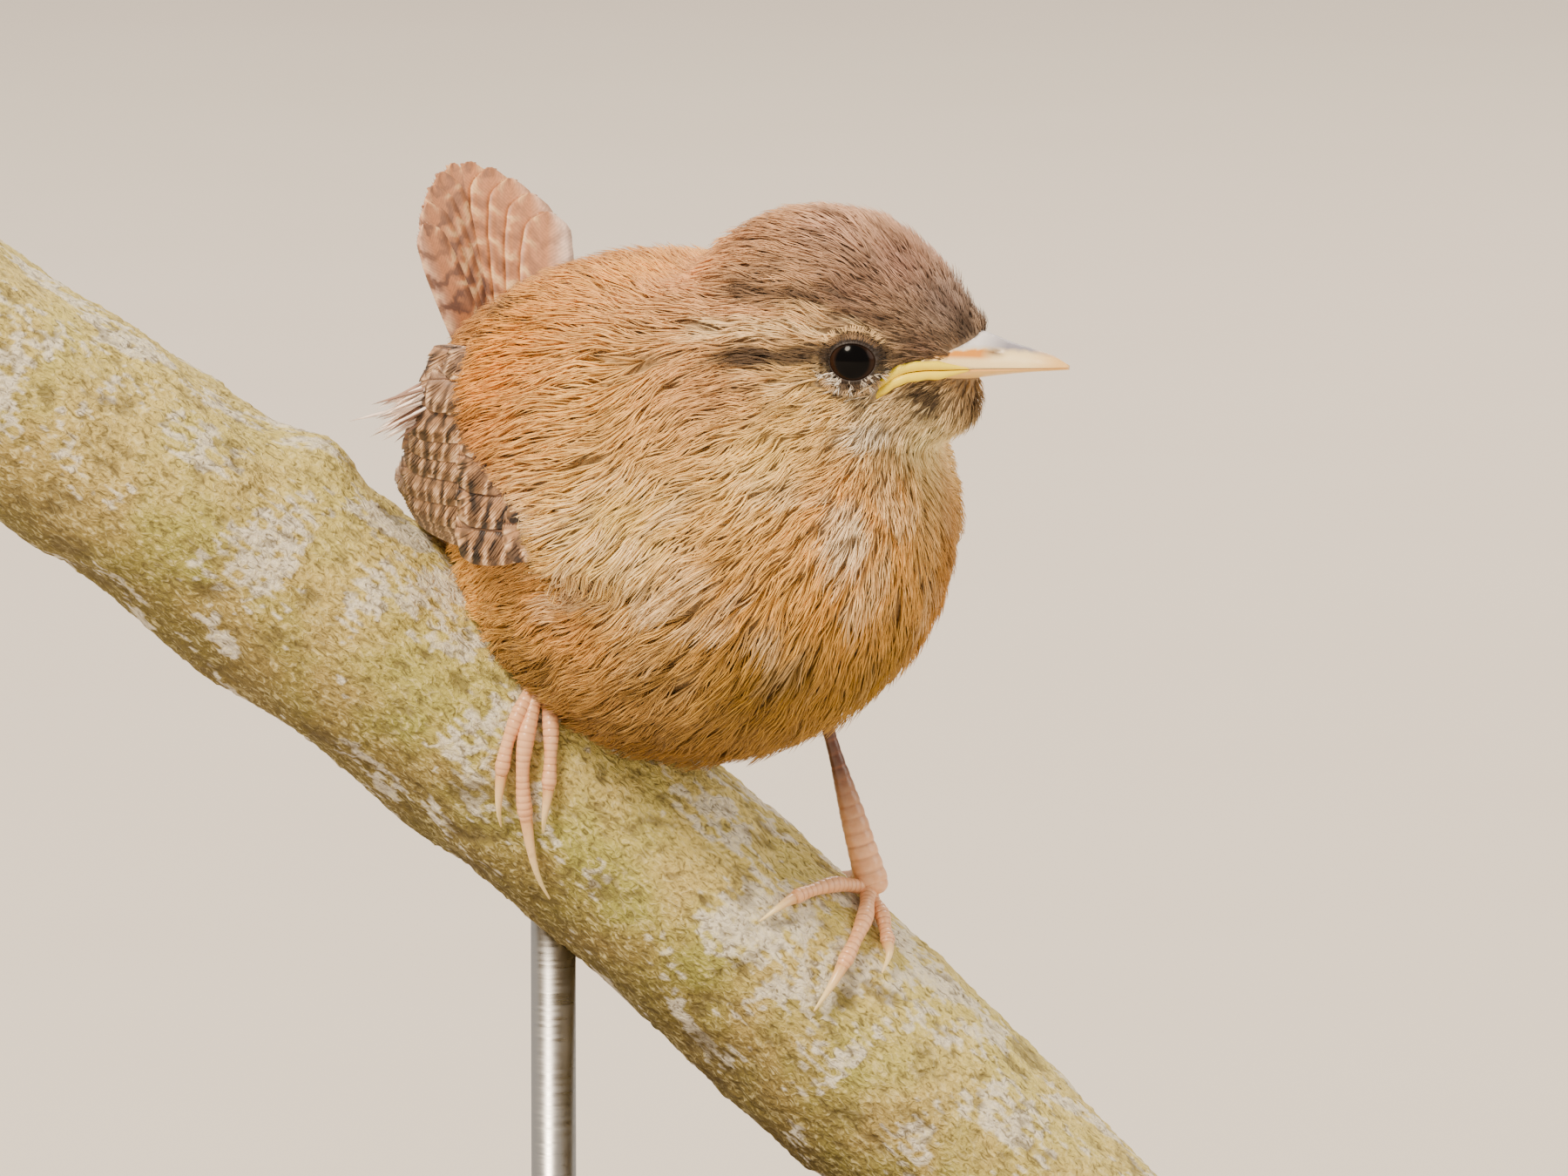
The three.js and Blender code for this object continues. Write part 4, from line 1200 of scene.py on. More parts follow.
def eye_shape(side):
    """An eyeball, with the angle of each of its points from the way that it looks."""
    middle, way = EYES[side]
    points, triangles = round_ball(EYE_DETAIL)
    gaze = np.arccos(np.clip(points @ way, -1, 1))
    return middle + points * EYE["radius"], outward(points, triangles), {"gaze": gaze}


def lid_shape(side):
    """The lids: a thin dark rim on the eyeball, and beaded skin from there out under the feathers."""
    middle, way = EYES[side]
    across, up = lid_axes(way)
    turn = np.linspace(0, 2 * np.pi, LID_BEADS * 6, endpoint=False)
    inner = opening_radius(turn)
    bead = np.cos(LID_BEADS * turn)
    out = np.cos(turn)[:, None] * across + np.sin(turn)[:, None] * up
    rings = []
    for k, (beyond, rise) in enumerate(LID_PROFILE):
        radius = inner + beyond
        on_ball = np.sqrt(np.maximum(EYE["radius"] ** 2 - radius**2, 0))
        ahead = on_ball + rise + (0.02 * bead if k in BEADED else 0)
        rings.append(middle + out * radius[:, None] + way * ahead[:, None])
    points = np.stack(rings, axis=1)
    n, m = points.shape[:2]
    i, j = np.meshgrid(np.arange(n), np.arange(m), indexing="ij")
    a, b = (i * m + j).ravel(), (i * m + (j + 1) % m).ravel()
    c, d = (((i + 1) % n) * m + (j + 1) % m).ravel(), (((i + 1) % n) * m + j).ravel()
    triangles = np.concatenate([np.stack([a, b, c], 1), np.stack([a, c, d], 1)])
    points = points.reshape(-1, 3)
    beads = np.where(np.isin(np.arange(m), BEADED), bead[:, None], -1).reshape(-1)
    return points, outward(points, triangles), {"bead": beads}


# Legs: places on the branch are mm along it and degrees round it. Each leg has the place of its pad, its
# heel, the share of the tarsus that is bare, and for each toe the place of its tip, its bow and its radius
LEGS = {
    "right": {
        "pad": (55.6, 44), "heel": (-3.2, -2.8, 81), "shown": 0.42,
        "toes": [((60.8, -26), -1.4, 0.62), ((67.6, -40), -2.3, 0.66), ((63.6, -14), 0.6, 0.62),
                 ((54, 122), 0, 0.72)],
    },
    "left": {
        "pad": (86.6, 82), "heel": (22, -2, 66.3), "shown": 1,
        "toes": [((81.2, 20), -0.9, 0.62), ((89.2, 6), 0.1, 0.66), ((91.3, 42), 0.5, 0.62),
                 ((85, 158), 0, 0.72)],
    },
}
GAP = 0.3  # from the bark's plain level to the feet
# The share of a toe where its claw starts, the share of the radius left at its tip, and its arch
CLAW_FROM, CLAW_TIP, TOE_ARCH = 0.68, 0.12, 0.6
PAD_RADIUS = 1.15
# Shares of the tarsus from the pad up, and its radii there
TARSUS = ((0, 0.14, 0.32, 0.45, 0.6, 0.85, 1), (1.38, 1.22, 1.02, 0.8, 0.56, 0.6, 0.85))
SCUTE = 1.1  # from one scute of the tarsus to the next
TOE_SCUTE = 0.55
TARSUS_RINGS, TOE_RINGS, CLAW_RINGS, CLAW_SIDES = 90, 110, 40, 12


def scaled_tube(path, radii, facing, pitch, relief, shade_rise=0, sides=18):
    """A tube with scutes across the side that faces a given way, and fine scales on the other.

    The share of the tarsus that it climbs sets how far painted shade darkens it towards the top.
    """
    tangent = unit(np.gradient(path, axis=0))
    side = unit(np.cross(facing, tangent))
    rise = np.cross(tangent, side)
    turn = np.linspace(0, 2 * np.pi, sides, endpoint=False)
    ring = side[:, None] * np.cos(turn)[None, :, None] + rise[:, None] * np.sin(turn)[None, :, None]
    far = np.append(0, np.cumsum(np.linalg.norm(np.diff(path, axis=0), axis=1)))
    front = np.clip(np.sin(turn), 0, 1)[None]
    scute = (np.abs((far / pitch) % 1 - 0.5) * 2)[:, None] ** 3
    back = (1 - front) * 0.35 * np.sin(far[:, None] / pitch * 14 + 3 * turn)
    radius = radii[:, None] * (1 - relief * scute * (0.35 + 0.65 * front) + relief * 0.3 * back)
    points, triangles = closed_tube(path[:, None] + ring * radius[..., None])
    shares = shade_rise * far[:, None] / far[-1], front, scute
    values = np.stack([np.broadcast_to(v, radius.shape) for v in shares], -1)
    values = values.reshape(-1, 3)
    return points, triangles, {"scute": np.concatenate([values, values[:1], values[-1:]])}


def toe_path(pad, tip, bow, radius, t):
    """The middle line of a toe and its claw, laid round the branch."""
    in_claw = np.clip((t - CLAW_FROM) / (1 - CLAW_FROM), 0, 1)
    along = mix(pad[0], tip[0], t) + bow * np.sin(np.pi * t)
    angle = mix(pad[1], tip[1], t)
    flesh = radius * (1 - t / 4 + 0.1 * np.cos(6 * np.pi * t))
    claw = radius * mix(0.8, CLAW_TIP, in_claw**0.9)
    radii = np.where(t > CLAW_FROM, claw, flesh)
    lift = GAP - 0.12 + radii + TOE_ARCH * np.sin(np.pi * in_claw)
    return on_branch(along, angle, lift), on_branch(along, angle, lift + 1), radii


def leg_shapes(leg):
    """The scaled skin of a leg and its toes, and its claws."""
    pad = on_branch(*(np.array([float(v)]) for v in leg["pad"]), GAP + PAD_RADIUS)[0]
    t = np.linspace(0, leg["shown"], TARSUS_RINGS)
    path = pad + (np.array(leg["heel"]) - pad) * t[:, None]
    front = np.broadcast_to(BODY_FRAME[:3, 0], path.shape)
    flesh = [scaled_tube(path, through(*TARSUS, t), front, SCUTE, 0.12, leg["shown"])]
    claws = []
    for tip, bow, radius in leg["toes"]:
        t = np.linspace(0, CLAW_FROM + 0.05, TOE_RINGS)
        path, above, radii = toe_path(leg["pad"], tip, bow, radius, t)
        path = mix(path, pad, 0.5 * np.clip(1 - t / 0.1, 0, 1)[:, None])
        rounded = np.sqrt(np.clip((t[-1] - t) * 11 + 0.08, 0, 1))
        radii = 1.06 * radii * np.where(t > CLAW_FROM, 1.12, 1) * rounded
        flesh.append(scaled_tube(path, radii, above - path, TOE_SCUTE, 0.13, sides=16))
        t = np.linspace(CLAW_FROM - 0.04, 1, CLAW_RINGS)
        path, _, radii = toe_path(leg["pad"], tip, bow, radius, t)
        share = np.append(np.repeat(np.linspace(0, 1, CLAW_RINGS), CLAW_SIDES), (0, 1))
        claws.append((*tube(path, np.minimum(radii, radius * 0.8), CLAW_SIDES), {"length_share": share}))
    ball = tube(pad + np.linspace(-0.95, 0.95, 9)[:, None] * BODY_FRAME[:3, 2],
                1.12 * PAD_RADIUS * np.sqrt(1.02 - np.linspace(-0.97, 0.97, 9) ** 2), 18)
    flesh.append((*ball, {"scute": np.tile((0, 0.2, 0.1), (len(ball[0]), 1))}))
    return join(flesh), join(claws)


# Branch and stand
BRANCH_ROWS, BRANCH_SIDES = 460, 170


def perch_shape():
    """The branch with its fibrous bark, flakes of lichen and two sawn ends."""
    along = np.linspace(0, BRANCH["length"], BRANCH_ROWS)[:, None]
    angle = np.linspace(0, 360, BRANCH_SIDES, endpoint=False)[None]
    along, angle = np.broadcast_arrays(along, angle)
    a = np.radians(angle)
    flat = np.stack([along * 0.35, BRANCH_ROUND * np.cos(a), BRANCH_ROUND * np.sin(a)], -1)
    ridges = ripple(flat, 0.9, 41) * 0.5 + ripple(flat * (0.5, 1, 1), 0.45, 42) * 0.35
    skewed = flat * (2.2, 1, 1) + 0.25 * along[..., None] * np.array([0, 0.4, 0.2])
    grain = ripple(skewed, 0.4, 45) + 0.6 * ripple(skewed, 0.3, 48)
    lumps = ripple(flat * (2.2, 1, 1), 4.2, 43)
    crack = np.clip(ripple(flat * (1.4, 1, 1), 1.6, 44) - 0.6, 0, 1)
    lichen = ease(0.05, 0.6, ripple(flat * (2.9, 1, 1), 2.6, 46) + 0.6 * ripple(flat * 3, 0.8, 47) - 0.45
                  + 0.75 * np.exp(-(((angle - 62) / 34) ** 2)))
    height = 0.11 * ridges + 0.07 * grain + 0.2 * lumps - 0.2 * crack + 0.03 * lichen - 0.1
    height = mix(height, -0.05 + 0.06 * ridges, contact_share(along, angle))
    points = on_branch(along, angle, np.minimum(height, 0.22))
    shape = closed_tube(points)
    # top carries the bark's painted light and shade round the branch, lighter on top and darker below;
    # relief carries painted shade in the hollows and cracks
    top = np.sin(a) * 0.5 + 0.5
    relief = np.clip(0.5 + 0.3 * ridges + 0.2 * grain - 0.5 * crack, 0, 1)
    bark = np.stack([top, lichen, relief], -1).reshape(-1, 3)
    place = np.stack([along, BRANCH_ROUND * np.cos(a), BRANCH_ROUND * np.sin(a)], -1).reshape(-1, 3)
    ends = np.array([[0.5, 0, 0.5]] * 2)
    return *shape, {"bark": np.concatenate([bark, ends]), "grain": np.concatenate([place, np.zeros((2, 3))])}


def contact_share(along, angle):
    """1 on the bark under the toes, where it stays at its plain level, and 0 away from them."""
    share = np.zeros(along.shape)
    for leg in LEGS.values():
        for tip, bow, _ in leg["toes"]:
            for t in np.linspace(0, 1, 14):
                x = mix(leg["pad"][0], tip[0], t) + bow * math.sin(math.pi * t)
                turn = np.radians(angle - mix(leg["pad"][1], tip[1], t))
                off = np.hypot(along - x, BRANCH_ROUND * np.sin(turn / 2) * 2)
                share = np.maximum(share, 1 - ease(0.6, 1.6, off))
    return share


BASE = {"length": 102, "width": 62, "height": 6, "corner": 9, "bevel": 0.8}
ROD = {"radius": 1.8, "x": 1.5, "collar_radius": 4.5, "collar_height": 2, "top": 66}
# The collar's lower bevel, its upright rim, and the step from its rounded top to the rod
COLLAR_BEVEL, COLLAR_RIM, COLLAR_STEP = 0.25, 0.8, 0.6


def base_shape():
    """The flat base: a rounded rectangle with soft edges."""
    b = BASE["bevel"]
    steps = np.radians(np.linspace(90, 0, 7))
    profile = [(b * (1 - math.cos(a)), b * (1 - math.sin(a))) for a in steps]
    heights = profile + [(inset, BASE["height"] - z) for inset, z in profile[::-1]]
    turn = np.radians(np.linspace(0, 360, 144, endpoint=False))
    rings = []
    for inset, z in heights:
        r = BASE["corner"] - inset
        x = (BASE["length"] / 2 - BASE["corner"]) * np.sign(np.round(np.cos(turn), 9)) + r * np.cos(turn)
        y = (BASE["width"] / 2 - BASE["corner"]) * np.sign(np.round(np.sin(turn), 9)) + r * np.sin(turn)
        rings.append(np.stack([x, y, np.full_like(x, z)], -1))
    return *closed_tube(np.array(rings)), {}


def rod_shape():
    """The rod with its round collar, turned about the rod's axis."""
    foot = BASE["height"] + 0.02
    wide, narrow = ROD["collar_radius"], ROD["radius"] + COLLAR_STEP
    profile = [(wide - COLLAR_BEVEL, foot), (wide, foot + COLLAR_BEVEL)]
    for a in np.radians(np.linspace(0, 90, 8)):
        rise = (ROD["collar_height"] - COLLAR_RIM) * math.sin(a)
        profile.append((narrow + (wide - narrow) * math.cos(a), foot + COLLAR_RIM + rise))
    profile += [(ROD["radius"], foot + ROD["collar_height"] + 0.4), (ROD["radius"], ROD["top"] - 0.5)]
    turn = np.linspace(0, 2 * np.pi, 48, endpoint=False)
    rings = []
    for r, z in profile:
        rings.append(np.stack([ROD["x"] + r * np.cos(turn), r * np.sin(turn), np.full_like(turn, z)], -1))
    return *closed_tube(np.array(rings)), {}


def sawn_end(share):
    """A sawn face of the branch: a thin cap just inside the bark."""
    along = share * BRANCH["length"]
    way = 1 if share > 0.5 else -1
    centre, up = branch_line(np.array([along]))
    tangent = np.cross((0, 1, 0), up[0]) * way
    angle = np.linspace(0, 360, 96, endpoint=False)
    edge = on_branch(np.full(96, along), angle, -0.75)
    rings = []
    for shrink, out in ((0.97, -0.4), (1, 0.02), (0.985, 0.1), (0.8, 0.12), (0.5, 0.1), (0.2, 0.08)):
        rings.append(centre[0] + (edge - centre[0]) * shrink + tangent * out)
    shape = closed_tube(np.array(rings))
    far = np.linalg.norm(shape[0] - centre[0], axis=1)
    return *shape, {"far": far}


# Materials
# The bars of the vanes: how far they bend back towards the edges, differ from vane to vane and stray,
# in bars, and half the soft edge of one
BAR_BEND, BAR_SHIFT, BAR_STRAY, BAR_SOFT = -0.8, 2, 3.2, 0.16
# From one bar to the next in mm, the dark share of it, and the colours between bars and on them, of the
# light spots, and of plain vanes and tips
WING_BARS = {
    "pitch": 1, "share": 0.44, "ground": "#a67a54", "bar": "#2f2018", "spot": "#f9d2aa", "tip": "#8c7464",
}
TAIL_BARS = {
    "pitch": 1.25, "share": 0.38, "ground": "#b8733f", "bar": "#553120", "spot": "#eabb82", "tip": "#c98e66",
}
GROWTH_RING = 1.1  # from one ring of the sawn ends to the next


def barb_keratin():
    """Barbs of body feathers, keratin grown and preened: soft, matt, duller at the root than at the tip."""
    made, add = material("barb_keratin_preened")
    marking = add("ShaderNodeAttribute", attribute_name="marking").outputs["Color"]
    barb = add("ShaderNodeAttribute", attribute_name="barb").outputs["Vector"]
    along, tone, feather = add("ShaderNodeSeparateXYZ", {0: barb}).outputs
    place = add("ShaderNodeTexCoord").outputs["Object"]
    fleck = add("ShaderNodeTexNoise", {"Vector": place}, {"Scale": per_mm(0.6), "Detail": 3}).outputs["Fac"]
    light = add("ShaderNodeMapRange", {0: along}, {1: 0, 2: 0.75, 3: 0.74, 4: 1.06}).outputs[0]
    own = add("ShaderNodeMapRange", {0: tone}, {3: 0.82, 4: 1.2}).outputs[0]
    group = add("ShaderNodeMapRange", {0: feather}, {1: -2, 2: 2, 3: 0.87, 4: 1.13}).outputs[0]
    spot = add("ShaderNodeMapRange", {0: fleck}, {1: 0.3, 2: 0.7, 3: 0.9, 4: 1.1}).outputs[0]
    for factor in (own, group, spot):
        light = add("ShaderNodeMath", {0: light, 1: factor}, operation="MULTIPLY").outputs[0]
    base = add("ShaderNodeVectorMath", {0: marking, "Scale": light}, operation="SCALE").outputs[0]
    looks = {"Roughness": 0.6, "IOR": 1.55, "Specular IOR Level": 0.12, "Sheen Weight": 0.06}
    return finished(made, {"Base Color": base}, looks)


def down_under_coat():
    """The short down at the feathers' roots: matt and darker than their tips."""
    made, add = material("down_matted_under_coat")
    marking = add("ShaderNodeAttribute", attribute_name="marking").outputs["Color"]
    place = add("ShaderNodeTexCoord").outputs["Object"]
    fleck = add("ShaderNodeTexNoise", {"Vector": place}, {"Scale": per_mm(0.4), "Detail": 4}).outputs["Fac"]
    light = add("ShaderNodeMapRange", {0: fleck}, {1: 0.3, 2: 0.7, 3: 0.6, 4: 1.2}).outputs[0]
    base = add("ShaderNodeVectorMath", {0: marking, "Scale": light}, operation="SCALE").outputs[0]
    bump = add("ShaderNodeBump", {"Height": fleck}, {"Strength": 0.6, "Distance": 0.3 * MM}).outputs[0]
    return finished(made, {"Base Color": base, "Normal": bump}, {"Roughness": 0.9})


def vane_bars(add, vane, place, bars):
    """How far a vane is in a dark bar, and in the light between two, before its plainness counts."""
    along, side, own = vane
    warp = add("ShaderNodeTexNoise", {"Vector": place}, {"Scale": per_mm(1.8), "Detail": 3}).outputs["Fac"]
    patch = add("ShaderNodeTexNoise", {"Vector": place}, {"Scale": per_mm(2.6), "Detail": 2}).outputs["Fac"]
    phase = add("ShaderNodeMath", {0: along}, {1: 1 / bars["pitch"]}, operation="MULTIPLY").outputs[0]
    for value, by in ((side, BAR_BEND), (own, BAR_SHIFT), (warp, BAR_STRAY)):
        more = add("ShaderNodeMath", {0: value}, {1: by}, operation="MULTIPLY").outputs[0]
        phase = add("ShaderNodeMath", {0: phase, 1: more}, operation="ADD").outputs[0]
    wave = add("ShaderNodeMath", {0: phase}, {1: 1}, operation="PINGPONG").outputs[0]
    low, high = bars["share"] - BAR_SOFT, bars["share"] + BAR_SOFT
    barred = add("ShaderNodeMapRange", {0: wave}, {1: high, 2: low, 3: 0, 4: 1}).outputs[0]
    strong = add("ShaderNodeMapRange", {0: patch}, {1: 0.36, 2: 0.54, 3: 0.55, 4: 1}).outputs[0]
    barred = add("ShaderNodeMath", {0: barred, 1: strong}, operation="MULTIPLY").outputs[0]
    light = add("ShaderNodeMapRange", {0: wave}, {1: 0.6, 2: 0.85, 3: 0, 4: 1}).outputs[0]
    return barred, light


def vane_keratin(name, bars):
    """Stiff vanes, keratin with barbs zipped flat: a low silky gloss, and dark bars across."""
    made, add = material(name)
    vane = add("ShaderNodeAttribute", attribute_name="vane").outputs["Vector"]
    along, across, own = add("ShaderNodeSeparateXYZ", {0: vane}).outputs
    web = add("ShaderNodeAttribute", attribute_name="web").outputs["Vector"]
    plain, pale, shaft = add("ShaderNodeSeparateXYZ", {0: web}).outputs
    place = add("ShaderNodeTexCoord").outputs["Object"]
    side = add("ShaderNodeMath", {0: across}, operation="ABSOLUTE").outputs[0]
    barred, light = vane_bars(add, (along, side, own), place, bars)
    faint = add("ShaderNodeMapRange", {0: plain}, {3: 1, 4: 0.15}).outputs[0]
    barred = add("ShaderNodeMath", {0: barred, 1: faint}, operation="MULTIPLY").outputs[0]
    edge = add("ShaderNodeMapRange", {0: side}, {1: 0.35, 2: 0.8, 3: 0, 4: 1}).outputs[0]
    spotted = add("ShaderNodeMath", {0: light, 1: edge}, operation="MULTIPLY").outputs[0]
    dull = add("ShaderNodeMath", {0: plain}, {1: 0.85}, operation="MULTIPLY").outputs[0]
    far = add("ShaderNodeMapRange", {0: along}, {1: 9, 2: 21, 3: 0, 4: 0.45}).outputs[0]
    colours = {6: linear(bars["ground"]), 7: linear(bars["tip"])}
    base = add("ShaderNodeMix", {0: dull}, colours, data_type="RGBA").outputs[2]
    layers = ((spotted, bars["spot"]), (pale, "#f2d6c2"), (barred, bars["bar"]), (far, bars["tip"]))
    for share, colour in layers:
        base = add("ShaderNodeMix", {0: share, 6: base}, {7: linear(colour)}, data_type="RGBA").outputs[2]
    skew = add("ShaderNodeMath", {0: side}, {1: -1.6}, operation="MULTIPLY").outputs[0]
    lines = add("ShaderNodeMath", {0: along, 1: skew}, operation="ADD").outputs[0]
    turns = 2 * math.pi / BARB_SPACING
    lines = add("ShaderNodeMath", {0: lines}, {1: turns}, operation="MULTIPLY").outputs[0]
    lines = add("ShaderNodeMath", {0: lines}, operation="SINE").outputs[0]
    fine = add("ShaderNodeTexNoise", {"Vector": place}, {"Scale": per_mm(0.35), "Detail": 3}).outputs["Fac"]
    fine = add("ShaderNodeMath", {0: lines, 2: fine}, {1: 0.12}, operation="MULTIPLY_ADD").outputs[0]
    shade = add("ShaderNodeMapRange", {0: fine}, {1: 0.2, 2: 0.8, 3: 0.8, 4: 1.2}).outputs[0]
    base = add("ShaderNodeMix", {0: shaft, 6: base}, {7: linear("#6b4a35")}, data_type="RGBA").outputs[2]
    base = add("ShaderNodeVectorMath", {0: base, "Scale": shade}, operation="SCALE").outputs[0]
    return finished(made, {"Base Color": base}, {"Roughness": 0.5, "IOR": 1.55})


def bill_horn():
    """The bill's horn, worn smooth: grey along the ridge, whitish at the base, orange at edge and tip."""
    made, add = material("horn_worn_smooth")
    horn = add("ShaderNodeAttribute", attribute_name="horn").outputs["Vector"]
    along, rise, pit = add("ShaderNodeSeparateXYZ", {0: horn}).outputs
    place = add("ShaderNodeTexCoord").outputs["Object"]
    noise = add("ShaderNodeTexNoise", {"Vector": place}, {"Scale": per_mm(0.7), "Detail": 3}).outputs["Fac"]
    level = add("ShaderNodeMath", {0: noise, 2: rise}, {1: 0.2}, operation="MULTIPLY_ADD").outputs[0]
    top = add("ShaderNodeMapRange", {0: along}, {1: 9, 2: 17, 3: 0.62, 4: 1.08}).outputs[0]
    over = add("ShaderNodeMath", {0: level, 1: top}, operation="SUBTRACT").outputs[0]
    ridge = add("ShaderNodeMapRange", {0: over}, {1: -0.1, 2: 0.1, 3: 0, 4: 1}).outputs[0]
    colours = {6: linear("#fbdfa2"), 7: linear("#88838c")}
    base = add("ShaderNodeMix", {0: ridge}, colours, data_type="RGBA").outputs[2]
    pale = add("ShaderNodeMapRange", {0: along}, {1: 13.4, 2: 11.2, 3: 0, 4: 0.85}).outputs[0]
    pale = add("ShaderNodeMath", {0: pale, 1: ridge}, operation="MULTIPLY").outputs[0]
    base = add("ShaderNodeMix", {0: pale, 6: base}, {7: linear("#f1ebe8")}, data_type="RGBA").outputs[2]
    culmen = add("ShaderNodeMapRange", {0: rise}, {1: 0.975, 2: 0.998, 3: 0, 4: 0.6}).outputs[0]
    base = add("ShaderNodeMix", {0: culmen, 6: base}, {7: linear("#5b5054")}, data_type="RGBA").outputs[2]
    root = add("ShaderNodeMapRange", {0: along}, {1: 12.6, 2: 11.6, 3: 0, 4: 1}).outputs[0]
    under = add("ShaderNodeMapRange", {0: over}, {1: -0.02, 2: -0.1, 3: 0, 4: 1}).outputs[0]
    above = add("ShaderNodeMapRange", {0: rise}, {1: 0.26, 2: 0.4, 3: 0, 4: 1}).outputs[0]
    for factor in (under, above):
        root = add("ShaderNodeMath", {0: root, 1: factor}, operation="MULTIPLY").outputs[0]
    base = add("ShaderNodeMix", {0: root, 6: base}, {7: linear("#dd8c1e")}, data_type="RGBA").outputs[2]
    tip = add("ShaderNodeMapRange", {0: along}, {1: 15.2, 2: 17.6, 3: 0, 4: 0.8}).outputs[0]
    base = add("ShaderNodeMix", {0: tip, 6: base}, {7: linear("#eeb55e")}, data_type="RGBA").outputs[2]
    base = add("ShaderNodeMix", {0: pit, 6: base}, {7: linear("#6b4a2a")}, data_type="RGBA").outputs[2]
    rough = add("ShaderNodeMapRange", {0: noise}, {1: 0.3, 2: 0.7, 3: 0.3, 4: 0.45}).outputs[0]
    bump = add("ShaderNodeBump", {"Height": noise}, {"Strength": 0.25, "Distance": 0.1 * MM}).outputs[0]
    return finished(made, {"Base Color": base, "Roughness": rough, "Normal": bump}, {"IOR": 1.56})


def lower_bill_horn():
    """The lower half's horn: cream below and orange-yellow towards the edge."""
    made, add = material("horn_pale_worn_smooth")
    horn = add("ShaderNodeAttribute", attribute_name="horn").outputs["Vector"]
    _, rise, _ = add("ShaderNodeSeparateXYZ", {0: horn}).outputs
    place = add("ShaderNodeTexCoord").outputs["Object"]
    noise = add("ShaderNodeTexNoise", {"Vector": place}, {"Scale": per_mm(0.8), "Detail": 3}).outputs["Fac"]
    colours = {6: linear("#fad68a"), 7: linear("#f4bd62")}
    base = add("ShaderNodeMix", {0: noise}, colours, data_type="RGBA").outputs[2]
    edge = add("ShaderNodeMapRange", {0: rise}, {1: 0.35, 2: 0, 3: 0, 4: 0.6}).outputs[0]
    base = add("ShaderNodeMix", {0: edge, 6: base}, {7: linear("#e89238")}, data_type="RGBA").outputs[2]
    return finished(made, {"Base Color": base}, {"Roughness": 0.38, "IOR": 1.56})


def gape_skin():
    """The swollen gape edges, soft moist skin: pale lemon with a dull gloss."""
    made, add = material("gape_skin_soft_moist")
    place = add("ShaderNodeTexCoord").outputs["Object"]
    noise = add("ShaderNodeTexNoise", {"Vector": place}, {"Scale": per_mm(0.5), "Detail": 3}).outputs["Fac"]
    colours = {6: linear("#f2cf00"), 7: linear("#f8e23a")}
    base = add("ShaderNodeMix", {0: noise}, colours, data_type="RGBA").outputs[2]
    bump = add("ShaderNodeBump", {"Height": noise}, {"Strength": 0.3, "Distance": 0.1 * MM}).outputs[0]
    return finished(made, {"Base Color": base, "Normal": bump}, {"Roughness": 0.35, "IOR": 1.4})


def cornea():
    """The wet eye: near black, with a dark brown iris at the rim under a clear film."""
    made, add = material("cornea_wet")
    gaze = add("ShaderNodeAttribute", attribute_name="gaze").outputs["Fac"]
    iris = add("ShaderNodeMapRange", {0: gaze}, {1: 0.58, 2: 0.72, 3: 0, 4: 1}).outputs[0]
    colours = {6: linear("#040303"), 7: linear("#2a1a10")}
    base = add("ShaderNodeMix", {0: iris}, colours, data_type="RGBA").outputs[2]
    looks = {"Roughness": 0.13, "IOR": 1.376, "Specular IOR Level": 0.13}
    return finished(made, {"Base Color": base}, looks)


def lid_skin():
    """The lids' rims, bare beaded skin: dark between the beads and pale on them."""
    made, add = material("lid_skin_beaded")
    bead = add("ShaderNodeAttribute", attribute_name="bead").outputs["Fac"]
    share = add("ShaderNodeMapRange", {0: bead}, {1: -0.4, 2: 1, 3: 0, 4: 1}).outputs[0]
    colours = {6: linear("#2b201a"), 7: linear("#5a4738")}
    base = add("ShaderNodeMix", {0: share}, colours, data_type="RGBA").outputs[2]
    return finished(made, {"Base Color": base}, {"Roughness": 0.6})


def scaled_skin():
    """Legs and toes, horny scaled skin: flesh-pink, with painted shade making the top of the leg darker and
    redder under the belly, and darker between scutes.
    """
    made, add = material("skin_scaled_horny")
    scute = add("ShaderNodeAttribute", attribute_name="scute").outputs["Vector"]
    rise, _, gap = add("ShaderNodeSeparateXYZ", {0: scute}).outputs
    place = add("ShaderNodeTexCoord").outputs["Object"]
    noise = add("ShaderNodeTexNoise", {"Vector": place}, {"Scale": per_mm(0.6), "Detail": 4}).outputs["Fac"]
    colours = {6: linear("#dc9663"), 7: linear("#f2c499")}
    base = add("ShaderNodeMix", {0: noise}, colours, data_type="RGBA").outputs[2]
    # Painted shade: dark red-brown towards the top of the tarsus, where the belly shades it
    up = add("ShaderNodeMapRange", {0: rise}, {1: 0.16, 2: 0.54, 3: 0, 4: 1}).outputs[0]
    base = add("ShaderNodeMix", {0: up, 6: base}, {7: linear("#573220")}, data_type="RGBA").outputs[2]
    shade = add("ShaderNodeMapRange", {0: gap}, {1: 0.3, 2: 1, 3: 0, 4: 0.6}).outputs[0]
    base = add("ShaderNodeMix", {0: shade, 6: base}, {7: linear("#8a5330")}, data_type="RGBA").outputs[2]
    bump = add("ShaderNodeBump", {"Height": noise}, {"Strength": 0.4, "Distance": 0.12 * MM}).outputs[0]
    return finished(made, {"Base Color": base, "Normal": bump}, {"Roughness": 0.3, "IOR": 1.5})


